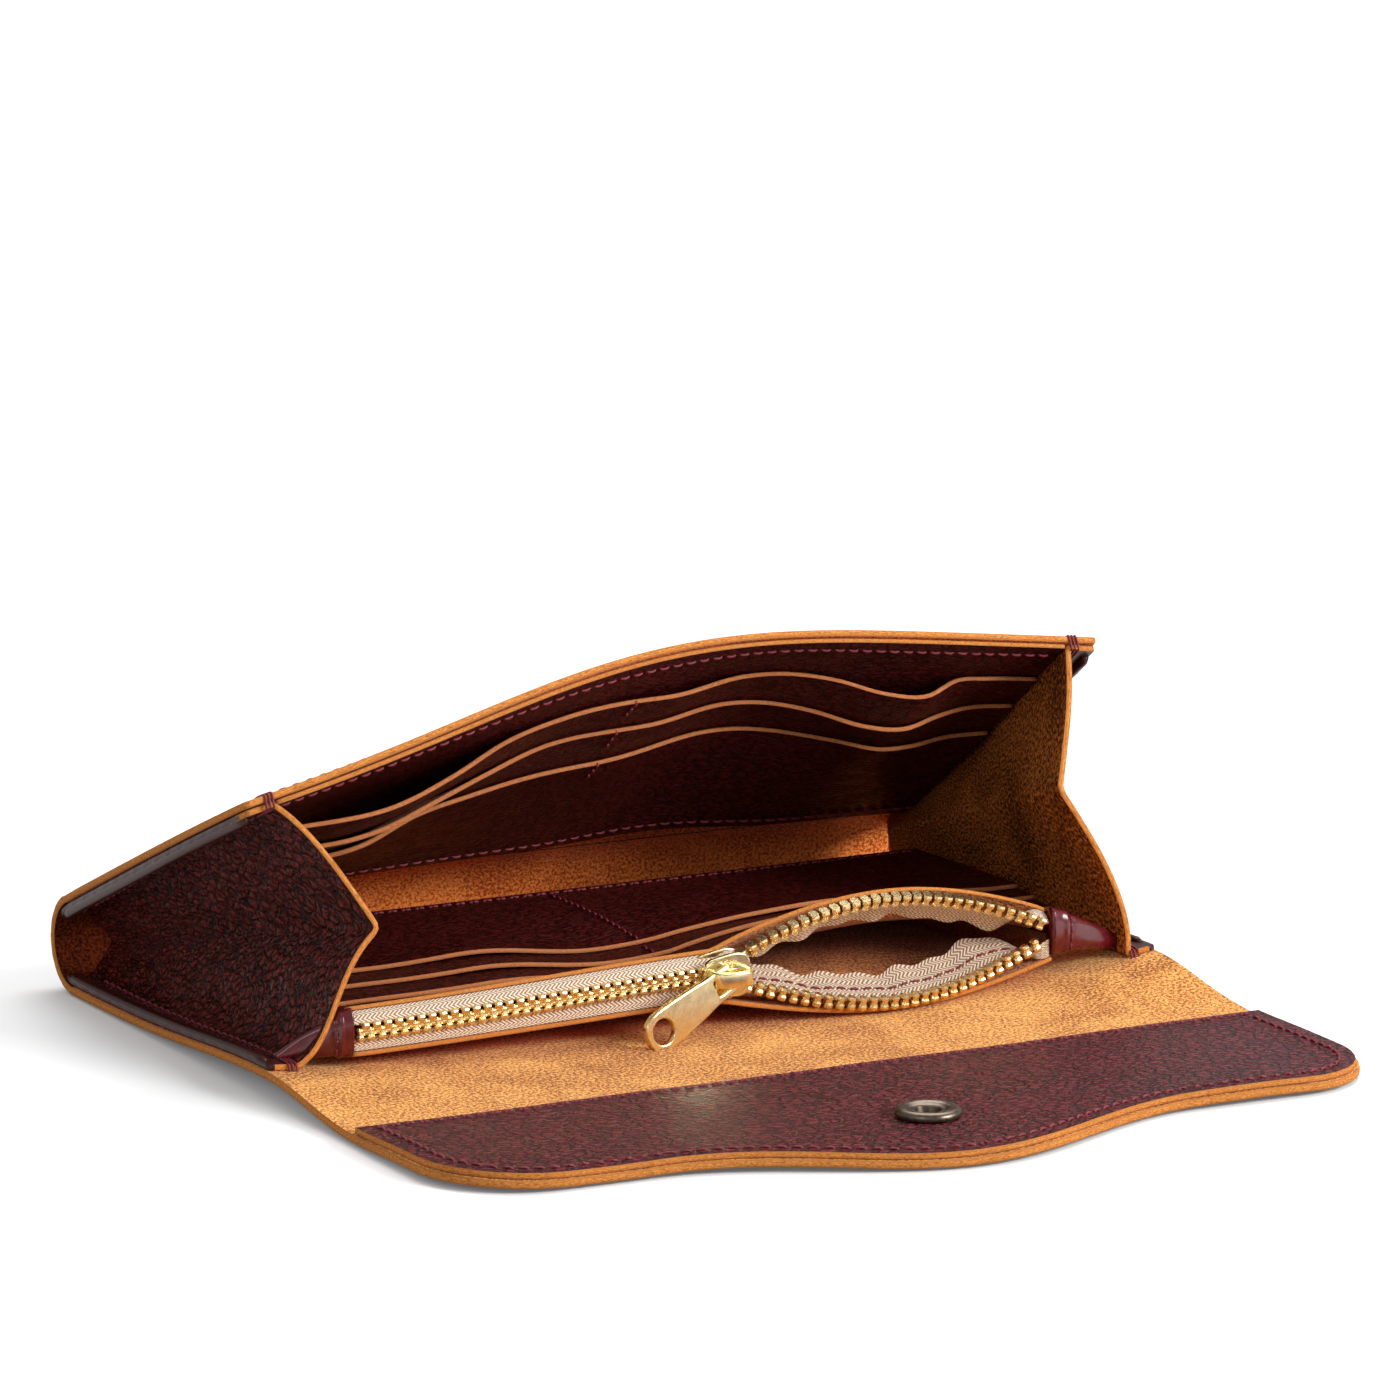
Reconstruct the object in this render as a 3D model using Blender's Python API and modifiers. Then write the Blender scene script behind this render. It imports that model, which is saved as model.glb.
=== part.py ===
"""Long flap wallet in leather, lying open on its back: card slots, zip pouch, V gussets and a snap flap.

x runs along the mouth, y from the mouth (0) back to the bottom fold, z up from the table.
A point of the front panel is given by x, by s, its distance from the bottom fold, and by h, its
height over the fold's axis at a right angle to the panel.
"""
from math import cos, pi, radians, sin

import bmesh
import bpy
from mathutils import Matrix, Vector

MM = 0.001

# Overall sizes
HALF_WIDTH = 100.0 * MM
LEATHER = 1.6 * MM          # main leather piece
THIN = 0.85 * MM            # card pockets, linings and pouch walls
GUSSET = 1.2 * MM
GAP = 0.35 * MM             # air between two pieces that are sewn or pressed together

# Bottom fold and front panel
FOLD_Y = 89.0 * MM
FOLD_RADIUS = 10.3 * MM     # to the outside of the leather
PANEL_LENGTH = 89.0 * MM    # from the fold to the lip
OPEN_ANGLE = radians(28.5)  # between back and front panel
TWIST = radians(3.5)        # the right end stands this much more open, the left end less
BOW = 17.0 * MM             # how far the middle of the lip arches outwards
BOW_POWER = 1.8

# Flap
HINGE_Y = -11.0 * MM        # where the flap starts to lift
TIP_HINGE_Y = -39.8 * MM    # where it folds over onto the front
FLAP_END_Y = -89.0 * MM
BULGE = 18.0 * MM           # the middle of the flap's edge reaches this much further
BULGE_HALF = 56.0 * MM
BULGE_X = -4.0 * MM
CORNER = 17.0 * MM
FACING_Y = -41.5 * MM
FACING_INSET = 0.6 * MM
SNAP_Y = -83.0 * MM

# Gussets
SEAM_X = 93.5 * MM
FLANGE_GAP = 0.4 * MM
GUSSET_MOUTH_Y = 1.4 * MM
GUSSET_FOLD_Y = 84.0 * MM
CREASE_LEFT = Vector((-76.0, 1.5, 30.0)) * MM
CREASE_RIGHT = Vector((77.5, 3.5, 38.0)) * MM
CREASE_INSET = 8.0 * MM
HINGE_CLEAR = 0.9 * MM
CREASE_CLEAR = 0.75 * MM

# Card slots, as distances from the mouth or lip
SLOT_PITCH = 11.0 * MM
SLOT_UPPER = 14.0 * MM
SLOT_LOWER = 11.0 * MM
TIERS = 3
STACK_PITCH = 1.28 * MM
STACK_HALF = 89.0 * MM
LOWER_HALF = 83.0 * MM
EDGE_SET_BACK = 0.6 * MM    # linings and facings stop this far short of the main leather's edge
LINING_START = 7.0 * MM     # upper lining, from the fold
LINING_BACK = 78.0 * MM     # lower lining's far end, from the mouth
LINING_AHEAD = 1.5 * MM     # the lower lining shows this much in front of the first slot
UPPER_BOTTOM = 26.0 * MM    # bottom of the first upper pocket; each next one is nearer the fold
UPPER_BOTTOM_STEP = 8.5 * MM
LOWER_BACK = 60.0 * MM      # far end of the first lower pocket; each next one is further back
LOWER_BACK_STEP = 8.0 * MM
POCKET_BULGES = (           # height, centre and half width of the two columns' slack
    (0.9 * MM, -45.0 * MM, 42.0 * MM),
    (2.6 * MM, 56.0 * MM, 26.0 * MM),
)
BULGE_BASE = 0.5            # share of the slack that the lining side takes
BULGE_STEP = 0.25           # and what each tier adds

# Pouch and zip
WALL_LOW_Z = 2.4 * MM
WALL_LOW_RISE = 4.0 * MM
WALL_TOP_Z = 9.9 * MM
WALL_LIP_RISE = 6.2 * MM
WALL_EDGE_Y = 0.8 * MM      # front edge of the pouch's walls
POUCH_BACK_Y = 76.0 * MM
TEETH_Z = 11.0 * MM
TEETH_Y = -2.4 * MM
TEETH_DEPTH = 2.2 * MM
ZIP_HALF = 79.5 * MM
TOOTH_PITCH = 2.4 * MM
TOOTH = 0.85 * MM
TOOTH_REACH = 0.75 * MM     # past the zip's centre line
TOOTH_ROOT = 1.75 * MM
TOOTH_CORE = 0.6 * MM       # the strip that joins a row's teeth
TAPE = 0.6 * MM
LENS_START = 2.0 * MM       # the zip is open from here to its right end
LENS_UP = 9.5 * MM
LENS_DOWN = 5.8 * MM
LENS_BACK = 2.0 * MM
LENS_FORWARD = 4.0 * MM
LENS_FADE = 45.0 * MM
LENS_SHAPE = 0.85
SLIDER_X = 2.0 * MM
PULL_AXIS = Vector((2.0, -5.9, 11.0)) * MM
PULL_END = Vector((-19.7, -9.9, 5.1)) * MM
PULL_HALF = 3.4 * MM        # half the pull's width at its round end
PULL_NECK = 2.85 * MM       # and where it grips the slider's bridge
PULL_THICK = 1.2 * MM
PULL_HOLE = 2.1 * MM        # radius
PULL_BAR = 0.65 * MM        # round the slot that takes the slider's bridge
PULL_SLOT = 2.1 * MM        # half the slot's width
PULL_SLOT_END = 4.9 * MM

# Slider
PLATE = 0.95 * MM
PLATE_LONG = 5.0 * MM       # half lengths and half widths of its two plates
PLATE_FRONT = 4.4 * MM
PLATE_BACK = 2.6 * MM
NECK_OVERLAP = 0.4 * MM
NECK = ((3.2, 0.12), (4.8, -0.3), (4.8, 1.1), (3.2, 0.45))      # in millimetres, seen from the front
BRIDGE_HALF = 0.6 * MM
# The bridge from the side, in millimetres: along the zip, and out from the front plate
BRIDGE = (
    (-3.6, 0.0), (-3.6, -2.4), (-2.6, -3.4), (2.6, -3.4), (3.6, -2.4), (3.6, 0.0),
    (2.5, 0.0), (2.5, -2.0), (2.0, -2.5), (-2.0, -2.5), (-2.5, -2.0), (-2.5, 0.0),
)

# Leather tabs at the zip's ends
TAB_WIDE = 4.7 * MM         # half its height beside the zip
TAB_TIP = 1.1 * MM          # and at its far end
TAB_LENGTH = 16.4 * MM
TAB_Y = -1.8 * MM
TAB_THICK = 1.45 * MM
TAB_THINNING = 0.5 * MM
TAB_DROP = 5.6 * MM

# Snap
CAP_RADIUS = 6.2 * MM
SNAP_RADIUS = 6.4 * MM
STUD_S = 57.3 * MM
STUD_RADIUS = 5.4 * MM

COLOURS = {
    "grain": ((0.075, 0.012, 0.014), 0.42, 0.0),
    "facing": ((0.095, 0.018, 0.026), 0.45, 0.0),
    "pocket": ((0.085, 0.010, 0.012), 0.45, 0.0),
    "suede": ((0.45, 0.17, 0.045), 0.95, 0.0),
    "patent": ((0.11, 0.006, 0.014), 0.22, 0.0),
    "tape": ((0.82, 0.72, 0.58), 0.85, 0.0),
    "brass": ((0.78, 0.56, 0.24), 0.28, 1.0),
    "gold": ((0.86, 0.71, 0.42), 0.2, 1.0),
    "antique": ((0.17, 0.13, 0.10), 0.38, 1.0),
}


def clear_scene():
    for item in list(bpy.data.objects):
        bpy.data.objects.remove(item, do_unlink=True)


def make_collection(name):
    found = bpy.data.collections.new(name)
    bpy.context.scene.collection.children.link(found)
    return found


def make_material(name, kind):
    colour, roughness, metallic = COLOURS[kind]
    material = bpy.data.materials.new(name)
    material.use_nodes = True
    shader = material.node_tree.nodes["Principled BSDF"]
    shader.inputs["Base Color"].default_value = (*colour, 1.0)
    shader.inputs["Roughness"].default_value = roughness
    shader.inputs["Metallic"].default_value = metallic
    material.diffuse_color = (*colour, 1.0)
    return material


def add_object(name, mesh, kind, origin=(0.0, 0.0, 0.0)):
    """Link a mesh made in world coordinates, with its origin moved to the given point."""
    mesh.transform(Matrix.Translation(-Vector(origin)))
    item = bpy.data.objects.new(name, mesh)
    item.location = origin
    mesh.materials.append(make_material(name + "_finish", kind))
    PARTS.objects.link(item)
    return item


def finish_mesh(name, bm, smooth=False):
    bmesh.ops.recalc_face_normals(bm, faces=bm.faces)
    closed = all(edge.is_manifold for edge in bm.edges)
    if closed and bm.calc_volume(signed=True) < 0.0:
        bmesh.ops.reverse_faces(bm, faces=bm.faces)
    mesh = bpy.data.meshes.new(name)
    bm.to_mesh(mesh)
    bm.free()
    for face in mesh.polygons:
        face.use_smooth = smooth
    return mesh


def spread(start, end, count):
    return [start + (end - start) * k / count for k in range(count + 1)]


def add_sheet(name, columns, rows, place, thickness, kind, origin=(0.0, 0.0, 0.0)):
    """A leather or cloth sheet: a grid laid on the middle surface that place gives, then thickened."""
    bm = bmesh.new()
    across = len(columns) - 1
    along = len(rows) - 1
    bmesh.ops.create_grid(bm, x_segments=across, y_segments=along, size=1.0)
    for vert in bm.verts:
        i = round((vert.co.x + 1.0) / 2.0 * across)
        j = round((vert.co.y + 1.0) / 2.0 * along)
        vert.co = place(columns[i], rows[j])
    mesh = finish_mesh(name, bm)
    item = add_object(name, mesh, kind, origin)
    solid = item.modifiers.new("thickness", "SOLIDIFY")
    solid.thickness = thickness
    solid.offset = 0.0
    solid.use_even_offset = True
    return item


def add_lathe(name, profile, frame, kind, origin, segments=32):
    """A turned piece: a closed profile of (radius, height) points spun about the frame's Z axis."""
    bm = bmesh.new()
    verts = [bm.verts.new((radius, 0.0, height)) for radius, height in profile]
    edges = [bm.edges.new((a, b)) for a, b in zip(verts, verts[1:])]
    bmesh.ops.spin(
        bm,
        geom=verts + edges,
        cent=(0.0, 0.0, 0.0),
        axis=(0.0, 0.0, 1.0),
        angle=2.0 * pi,
        steps=segments,
        use_merge=True,
    )
    bmesh.ops.remove_doubles(bm, verts=bm.verts, dist=0.001 * MM)
    bm.transform(frame)
    return add_object(name, finish_mesh(name, bm, smooth=False), kind, origin)


def add_outline(name, outline, low, high, frame, kind, origin=(0.0, 0.0, 0.0)):
    """A flat plate: a closed outline of (x, y) points extruded from low to high, then framed."""
    bm = bmesh.new()
    face = bm.faces.new([bm.verts.new((x, y, low)) for x, y in outline])
    top = bmesh.ops.extrude_face_region(bm, geom=[face])
    moved = [found for found in top["geom"] if isinstance(found, bmesh.types.BMVert)]
    bmesh.ops.translate(bm, verts=moved, vec=(0.0, 0.0, high - low))
    bm.transform(frame)
    return add_object(name, finish_mesh(name, bm), kind, origin)


def cut_with(item, name, radius, depth, frame):
    """Cut a round hole through an item, centred on the frame."""
    bm = bmesh.new()
    bmesh.ops.create_cone(
        bm, cap_ends=True, segments=32, radius1=radius, radius2=radius, depth=depth, matrix=frame
    )
    cutter = bpy.data.objects.new(name, finish_mesh(name, bm))
    PARTS.objects.link(cutter)
    use_cutter(item, cutter)


def use_cutter(item, cutter):
    set_aside(cutter)
    hole = item.modifiers.new(cutter.name, "BOOLEAN")
    hole.object = cutter
    hole.operation = "DIFFERENCE"
    hole.solver = "EXACT"


def set_aside(helper):
    """Move a cutter, or a shape that is joined into another, out of the parts' collection."""
    helper.hide_render = True
    helper.display_type = "WIRE"
    PARTS.objects.unlink(helper)
    CUTTERS.objects.link(helper)


def open_angle(x):
    return OPEN_ANGLE + TWIST * x / HALF_WIDTH


def bow(x, s):
    return BOW * cos(pi * x / (2.0 * HALF_WIDTH)) * (s / PANEL_LENGTH) ** BOW_POWER


def front_point(x, s, h):
    """The point over the front panel at x, s along it and h over the fold's axis."""
    angle = open_angle(x)
    height = h + bow(x, max(s, 0.0))
    y = FOLD_Y + height * sin(angle) - s * cos(angle)
    z = FOLD_RADIUS + height * cos(angle) + s * sin(angle)
    return Vector((x, y, z))


def bump(x, centre, half):
    """1 at the centre, falling smoothly to 0 at half to each side."""
    share = min(abs(x - centre) / half, 1.0)
    return 0.5 + 0.5 * cos(pi * share)


def lens(x):
    """0 where the zip is closed, 1 where the open zip gapes most."""
    share = (x - LENS_START) / (ZIP_HALF - LENS_START)
    if share <= 0.0:
        return 0.0
    return sin(pi * min(share, 1.0)) ** LENS_SHAPE


def lower_rise(x, y):
    """How far the open zip lifts the pouch's top wall and the card slots on it."""
    share = max(LENS_FADE - y, 0.0) / LENS_FADE
    return LENS_UP * lens(x) * min(share, 1.0) ** 2


def flap_end(x):
    """The flap's rounded edge, with its corners and the shallow bulge in the middle."""
    inset = max(abs(x) - (HALF_WIDTH - CORNER), 0.0)
    rounding = CORNER - (CORNER**2 - min(inset, CORNER) ** 2) ** 0.5
    return FLAP_END_Y + rounding - BULGE * bump(x, BULGE_X, BULGE_HALF)


def flap_columns():
    """Columns across the flap, closer together round the corners."""
    middle = spread(-HALF_WIDTH + CORNER, HALF_WIDTH - CORNER, 32)
    corner = [CORNER * sin(radians(turn)) for turn in (18, 36, 52, 66, 78, 90)]
    right = [HALF_WIDTH - CORNER + step for step in corner]
    left = [-x for x in reversed(right)]
    return left + middle + right


def add_back():
    middle = LEATHER / 2.0

    def back(x, y):
        return Vector((x, y, middle))

    rows = [HINGE_Y, HINGE_Y / 2.0, 0.0, FOLD_Y / 2.0, FOLD_Y]
    add_sheet("back_panel", spread(-HALF_WIDTH, HALF_WIDTH, 8), rows, back, LEATHER, "grain")

    ring = FOLD_RADIUS - middle
    start = -pi / 2.0 + GAP / ring

    def fold(x, share):
        end = pi / 2.0 - open_angle(x) - GAP / ring
        turn = start + (end - start) * share
        return Vector((x, FOLD_Y + ring * cos(turn), FOLD_RADIUS + ring * sin(turn)))

    add_sheet(
        "bottom_fold", spread(-HALF_WIDTH, HALF_WIDTH, 10), spread(0.0, 1.0, 16), fold, LEATHER, "grain"
    )


def add_front():
    hinge = (0.0, FOLD_Y, FOLD_RADIUS)
    height = FOLD_RADIUS - LEATHER / 2.0

    def front(x, s):
        return front_point(x, s, height)

    columns = spread(-HALF_WIDTH, HALF_WIDTH, 30)
    rows = spread(0.0, PANEL_LENGTH, 16)
    panel = add_sheet("front_panel", columns, rows, front, LEATHER, "grain", hinge)
    lining_height = height - LEATHER / 2.0 - GAP - THIN / 2.0

    def lining(x, s):
        return front_point(x, s, lining_height)

    columns = spread(-STACK_HALF, STACK_HALF, 28)
    rows = spread(LINING_START, PANEL_LENGTH - EDGE_SET_BACK, 14)
    backing = add_sheet("card_lining_upper", columns, rows, lining, THIN, "pocket", hinge)
    for tier in range(1, TIERS + 1):
        add_upper_pocket(tier, lining_height - tier * STACK_PITCH, columns, hinge)
    for side, name in ((-1, "left"), (1, "right")):
        add_upper_flange(side, name, height - LEATHER / 2.0 - GAP - GUSSET / 2.0, hinge)
    return panel, backing


def pocket_bulge(x, s, tier):
    """Empty pockets stand off the lining a little, most in the middle of the right column."""
    loose = sum(height * bump(x, centre, half) for height, centre, half in POCKET_BULGES)
    return loose * s / PANEL_LENGTH * (BULGE_BASE + BULGE_STEP * tier)


def add_upper_pocket(tier, height, columns, hinge):
    top = PANEL_LENGTH - SLOT_UPPER - SLOT_PITCH * (tier - 1)
    bottom = UPPER_BOTTOM - UPPER_BOTTOM_STEP * (tier - 1)

    def pocket(x, s):
        return front_point(x, s, height - pocket_bulge(x, s, tier))

    name = f"card_pocket_upper_{tier}"
    add_sheet(name, columns, spread(bottom, top, 8), pocket, THIN, "pocket", hinge)


def add_upper_flange(side, name, height, hinge):
    columns = sorted((side * (SEAM_X + FLANGE_GAP), side * HALF_WIDTH))

    def flange(x, s):
        return front_point(x, s, height)

    rows = spread(4.0 * MM, PANEL_LENGTH - 0.5 * MM, 16)
    add_sheet(f"gusset_{name}_flange_upper", columns, rows, flange, GUSSET, "grain", hinge)


def add_lower_flange(side, name):
    low = LEATHER + GAP
    columns = sorted((side * (SEAM_X + FLANGE_GAP), side * HALF_WIDTH))

    def flange(x, y):
        return Vector((x, y, low + GUSSET / 2.0))

    rows = (GUSSET_MOUTH_Y, GUSSET_FOLD_Y)
    add_sheet(f"gusset_{name}_flange_lower", columns, rows, flange, GUSSET, "grain")


def add_gusset(side, name, crease):
    """Two halves of a V gusset, hinged at its seams and meeting at the crease."""
    seam_z = LEATHER + GAP + GUSSET / 2.0
    seam_height = FOLD_RADIUS - LEATHER - GAP - GUSSET / 2.0
    crease_back = Vector((side * (SEAM_X - CREASE_INSET), GUSSET_FOLD_Y - 4.0 * MM, FOLD_RADIUS + 2.0 * MM))

    def half(seam):
        def place(along, across):
            start = seam(along)
            end = crease_back.lerp(crease, along)
            reach = (end - start).length
            inset = HINGE_CLEAR + across * (reach - HINGE_CLEAR - CREASE_CLEAR)
            return start + (end - start) * (inset / reach)
        return place

    def lower_seam(along):
        y = GUSSET_FOLD_Y + (GUSSET_MOUTH_Y - GUSSET_FOLD_Y) * along
        return Vector((side * SEAM_X, y, seam_z))

    def upper_seam(along):
        s = 5.0 * MM + (PANEL_LENGTH - 6.0 * MM) * along
        return front_point(side * SEAM_X, s, seam_height)

    columns = spread(0.0, 1.0, 12)
    rows = spread(0.0, 1.0, 4)
    add_sheet(
        f"gusset_{name}_lower", columns, rows, half(lower_seam), GUSSET, "grain", lower_seam(0.0)
    )
    add_sheet(
        f"gusset_{name}_upper", columns, rows, half(upper_seam), GUSSET, "grain", upper_seam(0.0)
    )


def wall_low(x, y):
    """Height of the pouch's bottom wall, raised at its mouth except where the zip gapes."""
    share = max(1.0 - y / (25.0 * MM), 0.0)
    return WALL_LOW_Z + WALL_LOW_RISE * min(share, 1.0) ** 2 * (1.0 - 0.9 * lens(x))


def wall_top(x, y):
    """Height of the pouch's top wall."""
    share = max(1.0 - y / (10.0 * MM), 0.0)
    return WALL_TOP_Z + WALL_LIP_RISE * min(share, 1.0) ** 2 + lower_rise(x, y)


def add_pouch():
    columns = spread(-ZIP_HALF, ZIP_HALF, 36)
    near = [k * MM for k in (2.0, 3.5, 5.0, 7.5, 10.0, 14.0, 19.0, 26.0, 34.0, 45.0)]
    rows = [WALL_EDGE_Y] + near + [POUCH_BACK_Y]

    def low(x, y):
        return Vector((x, y, wall_low(x, y)))

    def top(x, y):
        return Vector((x, y, wall_top(x, y)))

    add_sheet("pouch_wall_lower", columns, rows, low, THIN, "suede")
    add_sheet("pouch_wall_upper", columns, rows, top, THIN, "pocket")
    first = WALL_TOP_Z + STACK_PITCH
    add_lower_layer("card_lining_lower", first, SLOT_LOWER - LINING_AHEAD, LINING_BACK)
    for tier in range(1, TIERS + 1):
        start = SLOT_LOWER + SLOT_PITCH * (tier - 1)
        end = LOWER_BACK + LOWER_BACK_STEP * (tier - 1)
        add_lower_layer(f"card_pocket_lower_{tier}", first + tier * STACK_PITCH, start, end)


def add_lower_layer(name, height, start, end):
    def layer(x, y):
        return Vector((x, y, height + lower_rise(x, y)))

    rows = spread(start, end, 8)
    add_sheet(name, spread(-LOWER_HALF, LOWER_HALF, 32), rows, layer, THIN, "pocket")


def teeth_centre(x, side):
    """Where a row of teeth would meet the other if the zip were shut, moved apart in the lens."""
    gape = lens(x)
    if side > 0:
        return Vector((x, TEETH_Y + LENS_BACK * gape**2, TEETH_Z + LENS_UP * gape))
    return Vector((x, TEETH_Y - LENS_FORWARD * gape**2, TEETH_Z - LENS_DOWN * gape))


def add_teeth(side, name):
    """A comb of teeth on a thin core: squares in x and z, thickened in y, then bent to the lens."""
    count = int(2.0 * (ZIP_HALF - 1.0 * MM) / TOOTH_PITCH)
    first = -ZIP_HALF + 1.0 * MM + (TOOTH_PITCH / 2.0 if side > 0 else 0.0)
    levels = (TOOTH_ROOT + TOOTH_CORE, TOOTH_ROOT, -TOOTH_REACH)
    depth = TEETH_DEPTH / 2.0
    bm = bmesh.new()
    columns = []
    for k in range(count):
        for x in (first + k * TOOTH_PITCH, first + k * TOOTH_PITCH + TOOTH):
            columns.append([bm.verts.new((x, -depth, side * z)) for z in levels])
    for k, (left, right) in enumerate(zip(columns, columns[1:])):
        on_tooth = k % 2 == 0
        for row in range(2 if on_tooth else 1):
            bm.faces.new((left[row], left[row + 1], right[row + 1], right[row]))
    top = bmesh.ops.extrude_face_region(bm, geom=bm.faces[:])
    moved = [found for found in top["geom"] if isinstance(found, bmesh.types.BMVert)]
    bmesh.ops.translate(bm, verts=moved, vec=(0.0, 2.0 * depth, 0.0))
    bmesh.ops.recalc_face_normals(bm, faces=bm.faces)
    bmesh.ops.triangulate(bm, faces=bm.faces)
    for vert in bm.verts:
        centre = teeth_centre(vert.co.x, side)
        vert.co.y += centre.y
        vert.co.z += centre.z
    add_object(f"zip_teeth_{name}", finish_mesh(name, bm), "brass")


def add_tapes():
    columns = spread(-ZIP_HALF + 0.4 * MM, ZIP_HALF - 0.4 * MM, 44)

    inner_y = WALL_EDGE_Y - 0.6 * MM

    def upper(x, share):
        teeth = teeth_centre(x, 1) + Vector((0.0, 0.0, TOOTH_ROOT + 1.0 * MM))
        edge = Vector((x, inner_y, wall_top(x, WALL_EDGE_Y) - 1.1 * MM))
        return teeth.lerp(edge, share) + Vector((0.0, 0.0, bend(share)))

    def lower(x, share):
        teeth = teeth_centre(x, -1) - Vector((0.0, 0.0, TOOTH_ROOT + 1.0 * MM))
        edge = Vector((x, inner_y, wall_low(x, WALL_EDGE_Y) + 1.1 * MM))
        return teeth.lerp(edge, share) - Vector((0.0, 0.0, bend(share)))

    def bend(share):
        return 0.5 * MM * sin(pi * share)

    rows = spread(0.0, 1.0, 4)
    add_sheet("zip_tape_upper", columns, rows, upper, TAPE, "tape")
    add_sheet("zip_tape_lower", columns, rows, lower, TAPE, "tape")


def add_end_tab(side, name):
    """The folded leather tab at each end of the zip, tapering to the corner of the mouth."""
    def taper(share):
        return TAB_WIDE + (TAB_TIP - TAB_WIDE) * share ** 1.3

    bm = bmesh.new()
    bmesh.ops.create_cone(
        bm, cap_ends=True, segments=20, radius1=1.0, radius2=1.0, depth=1.0, matrix=Matrix.Identity(4)
    )
    for cut in spread(0.0, 1.0, 6)[1:-1]:
        geom = bm.verts[:] + bm.edges[:] + bm.faces[:]
        bmesh.ops.bisect_plane(bm, geom=geom, plane_co=(0, 0, cut - 0.5), plane_no=(0, 0, 1))
    for vert in bm.verts:
        share = vert.co.z + 0.5
        x = side * (ZIP_HALF + GAP + TAB_LENGTH * share)
        y = TAB_Y + vert.co.y * (TAB_THICK - TAB_THINNING * share)
        z = TEETH_Z - TAB_DROP * share**1.2 + vert.co.x * taper(share)
        vert.co = Vector((x, y, z))
    add_object(f"zip_end_tab_{name}", finish_mesh(name, bm, smooth=True), "patent")


def rounded(points_per_corner, half_x, half_y, radius):
    """A rectangle's outline with round corners, counter-clockwise."""
    outline = []
    for quarter in range(4):
        cx = (half_x - radius) * (1 if quarter in (0, 3) else -1)
        cy = (half_y - radius) * (1 if quarter in (0, 1) else -1)
        for k in range(points_per_corner + 1):
            turn = pi / 2.0 * (quarter + k / points_per_corner)
            outline.append((cx + radius * cos(turn), cy + radius * sin(turn)))
    return outline


def join_all(target, extras):
    for k, extra in enumerate(extras):
        union = target.modifiers.new(f"join_{k}", "BOOLEAN")
        union.object = extra
        union.operation = "UNION"
        union.solver = "EXACT"
        set_aside(extra)


def add_slider():
    """Two plates held apart by a neck between the rows of teeth, with a bridge for the pull."""
    centre = Vector((SLIDER_X, TEETH_Y, TEETH_Z))
    upright = Matrix.Translation(centre) @ Matrix.Rotation(pi / 2.0, 4, "X")
    half_gap = TEETH_DEPTH / 2.0 + GAP
    outline = rounded(5, PLATE_LONG, PLATE_FRONT, PLATE_FRONT / 2.0)
    low = add_outline("zip_slider", outline, half_gap, half_gap + PLATE, upright, "gold", centre)
    inner = rounded(5, PLATE_LONG, PLATE_BACK, PLATE_BACK * 0.6)
    back = add_outline("slider_back", inner, -half_gap - PLATE, -half_gap, upright, "gold", centre)
    neck = add_outline(
        "slider_neck",
        [(x * MM, y * MM) for x, y in NECK],
        -half_gap - NECK_OVERLAP,
        half_gap + NECK_OVERLAP,
        upright,
        "gold",
        centre,
    )
    front = half_gap + PLATE
    bridge = add_outline(
        "slider_bridge",
        [(x * MM, y * MM) for x, y in BRIDGE],
        -BRIDGE_HALF,
        BRIDGE_HALF,
        Matrix.Translation(centre + Vector((0.0, -front + BRIDGE_HALF / 2.0, 0.0))),
        "gold",
        centre,
    )
    join_all(low, [back, neck, bridge])


def add_pull():
    """The long flat pull, hinged on the slider's bridge and resting on the flap."""
    direction = (PULL_END - PULL_AXIS).normalized()
    length = (PULL_END - PULL_AXIS).length
    side = direction.cross(Vector((0.0, -1.0, 0.0))).normalized()
    face = side.cross(direction)
    frame = Matrix((side, direction, face)).transposed().to_4x4()
    frame.translation = PULL_AXIS
    half = PULL_HALF
    bar = PULL_BAR
    turns = spread(0.0, pi, 16)
    outline = [(half * cos(turn), length - half + half * sin(turn)) for turn in turns]
    outline += [(-PULL_NECK, length * 0.3), (-PULL_NECK, -bar), (PULL_NECK, -bar), (PULL_NECK, length * 0.3)]
    pull = add_outline(
        "pull_tab", outline, -PULL_THICK / 2.0, PULL_THICK / 2.0, frame, "gold", PULL_AXIS
    )
    hole = frame @ Matrix.Translation((0.0, length - half, 0.0))
    cut_with(pull, "pull_hole_cutter", PULL_HOLE, 6.0 * MM, hole)
    slot = [(-PULL_SLOT, bar), (PULL_SLOT, bar), (PULL_SLOT, PULL_SLOT_END), (-PULL_SLOT, PULL_SLOT_END)]
    cutter = add_outline("pull_slot_cutter", slot, -3.0 * MM, 3.0 * MM, frame, "gold", PULL_AXIS)
    use_cutter(pull, cutter)


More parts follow.
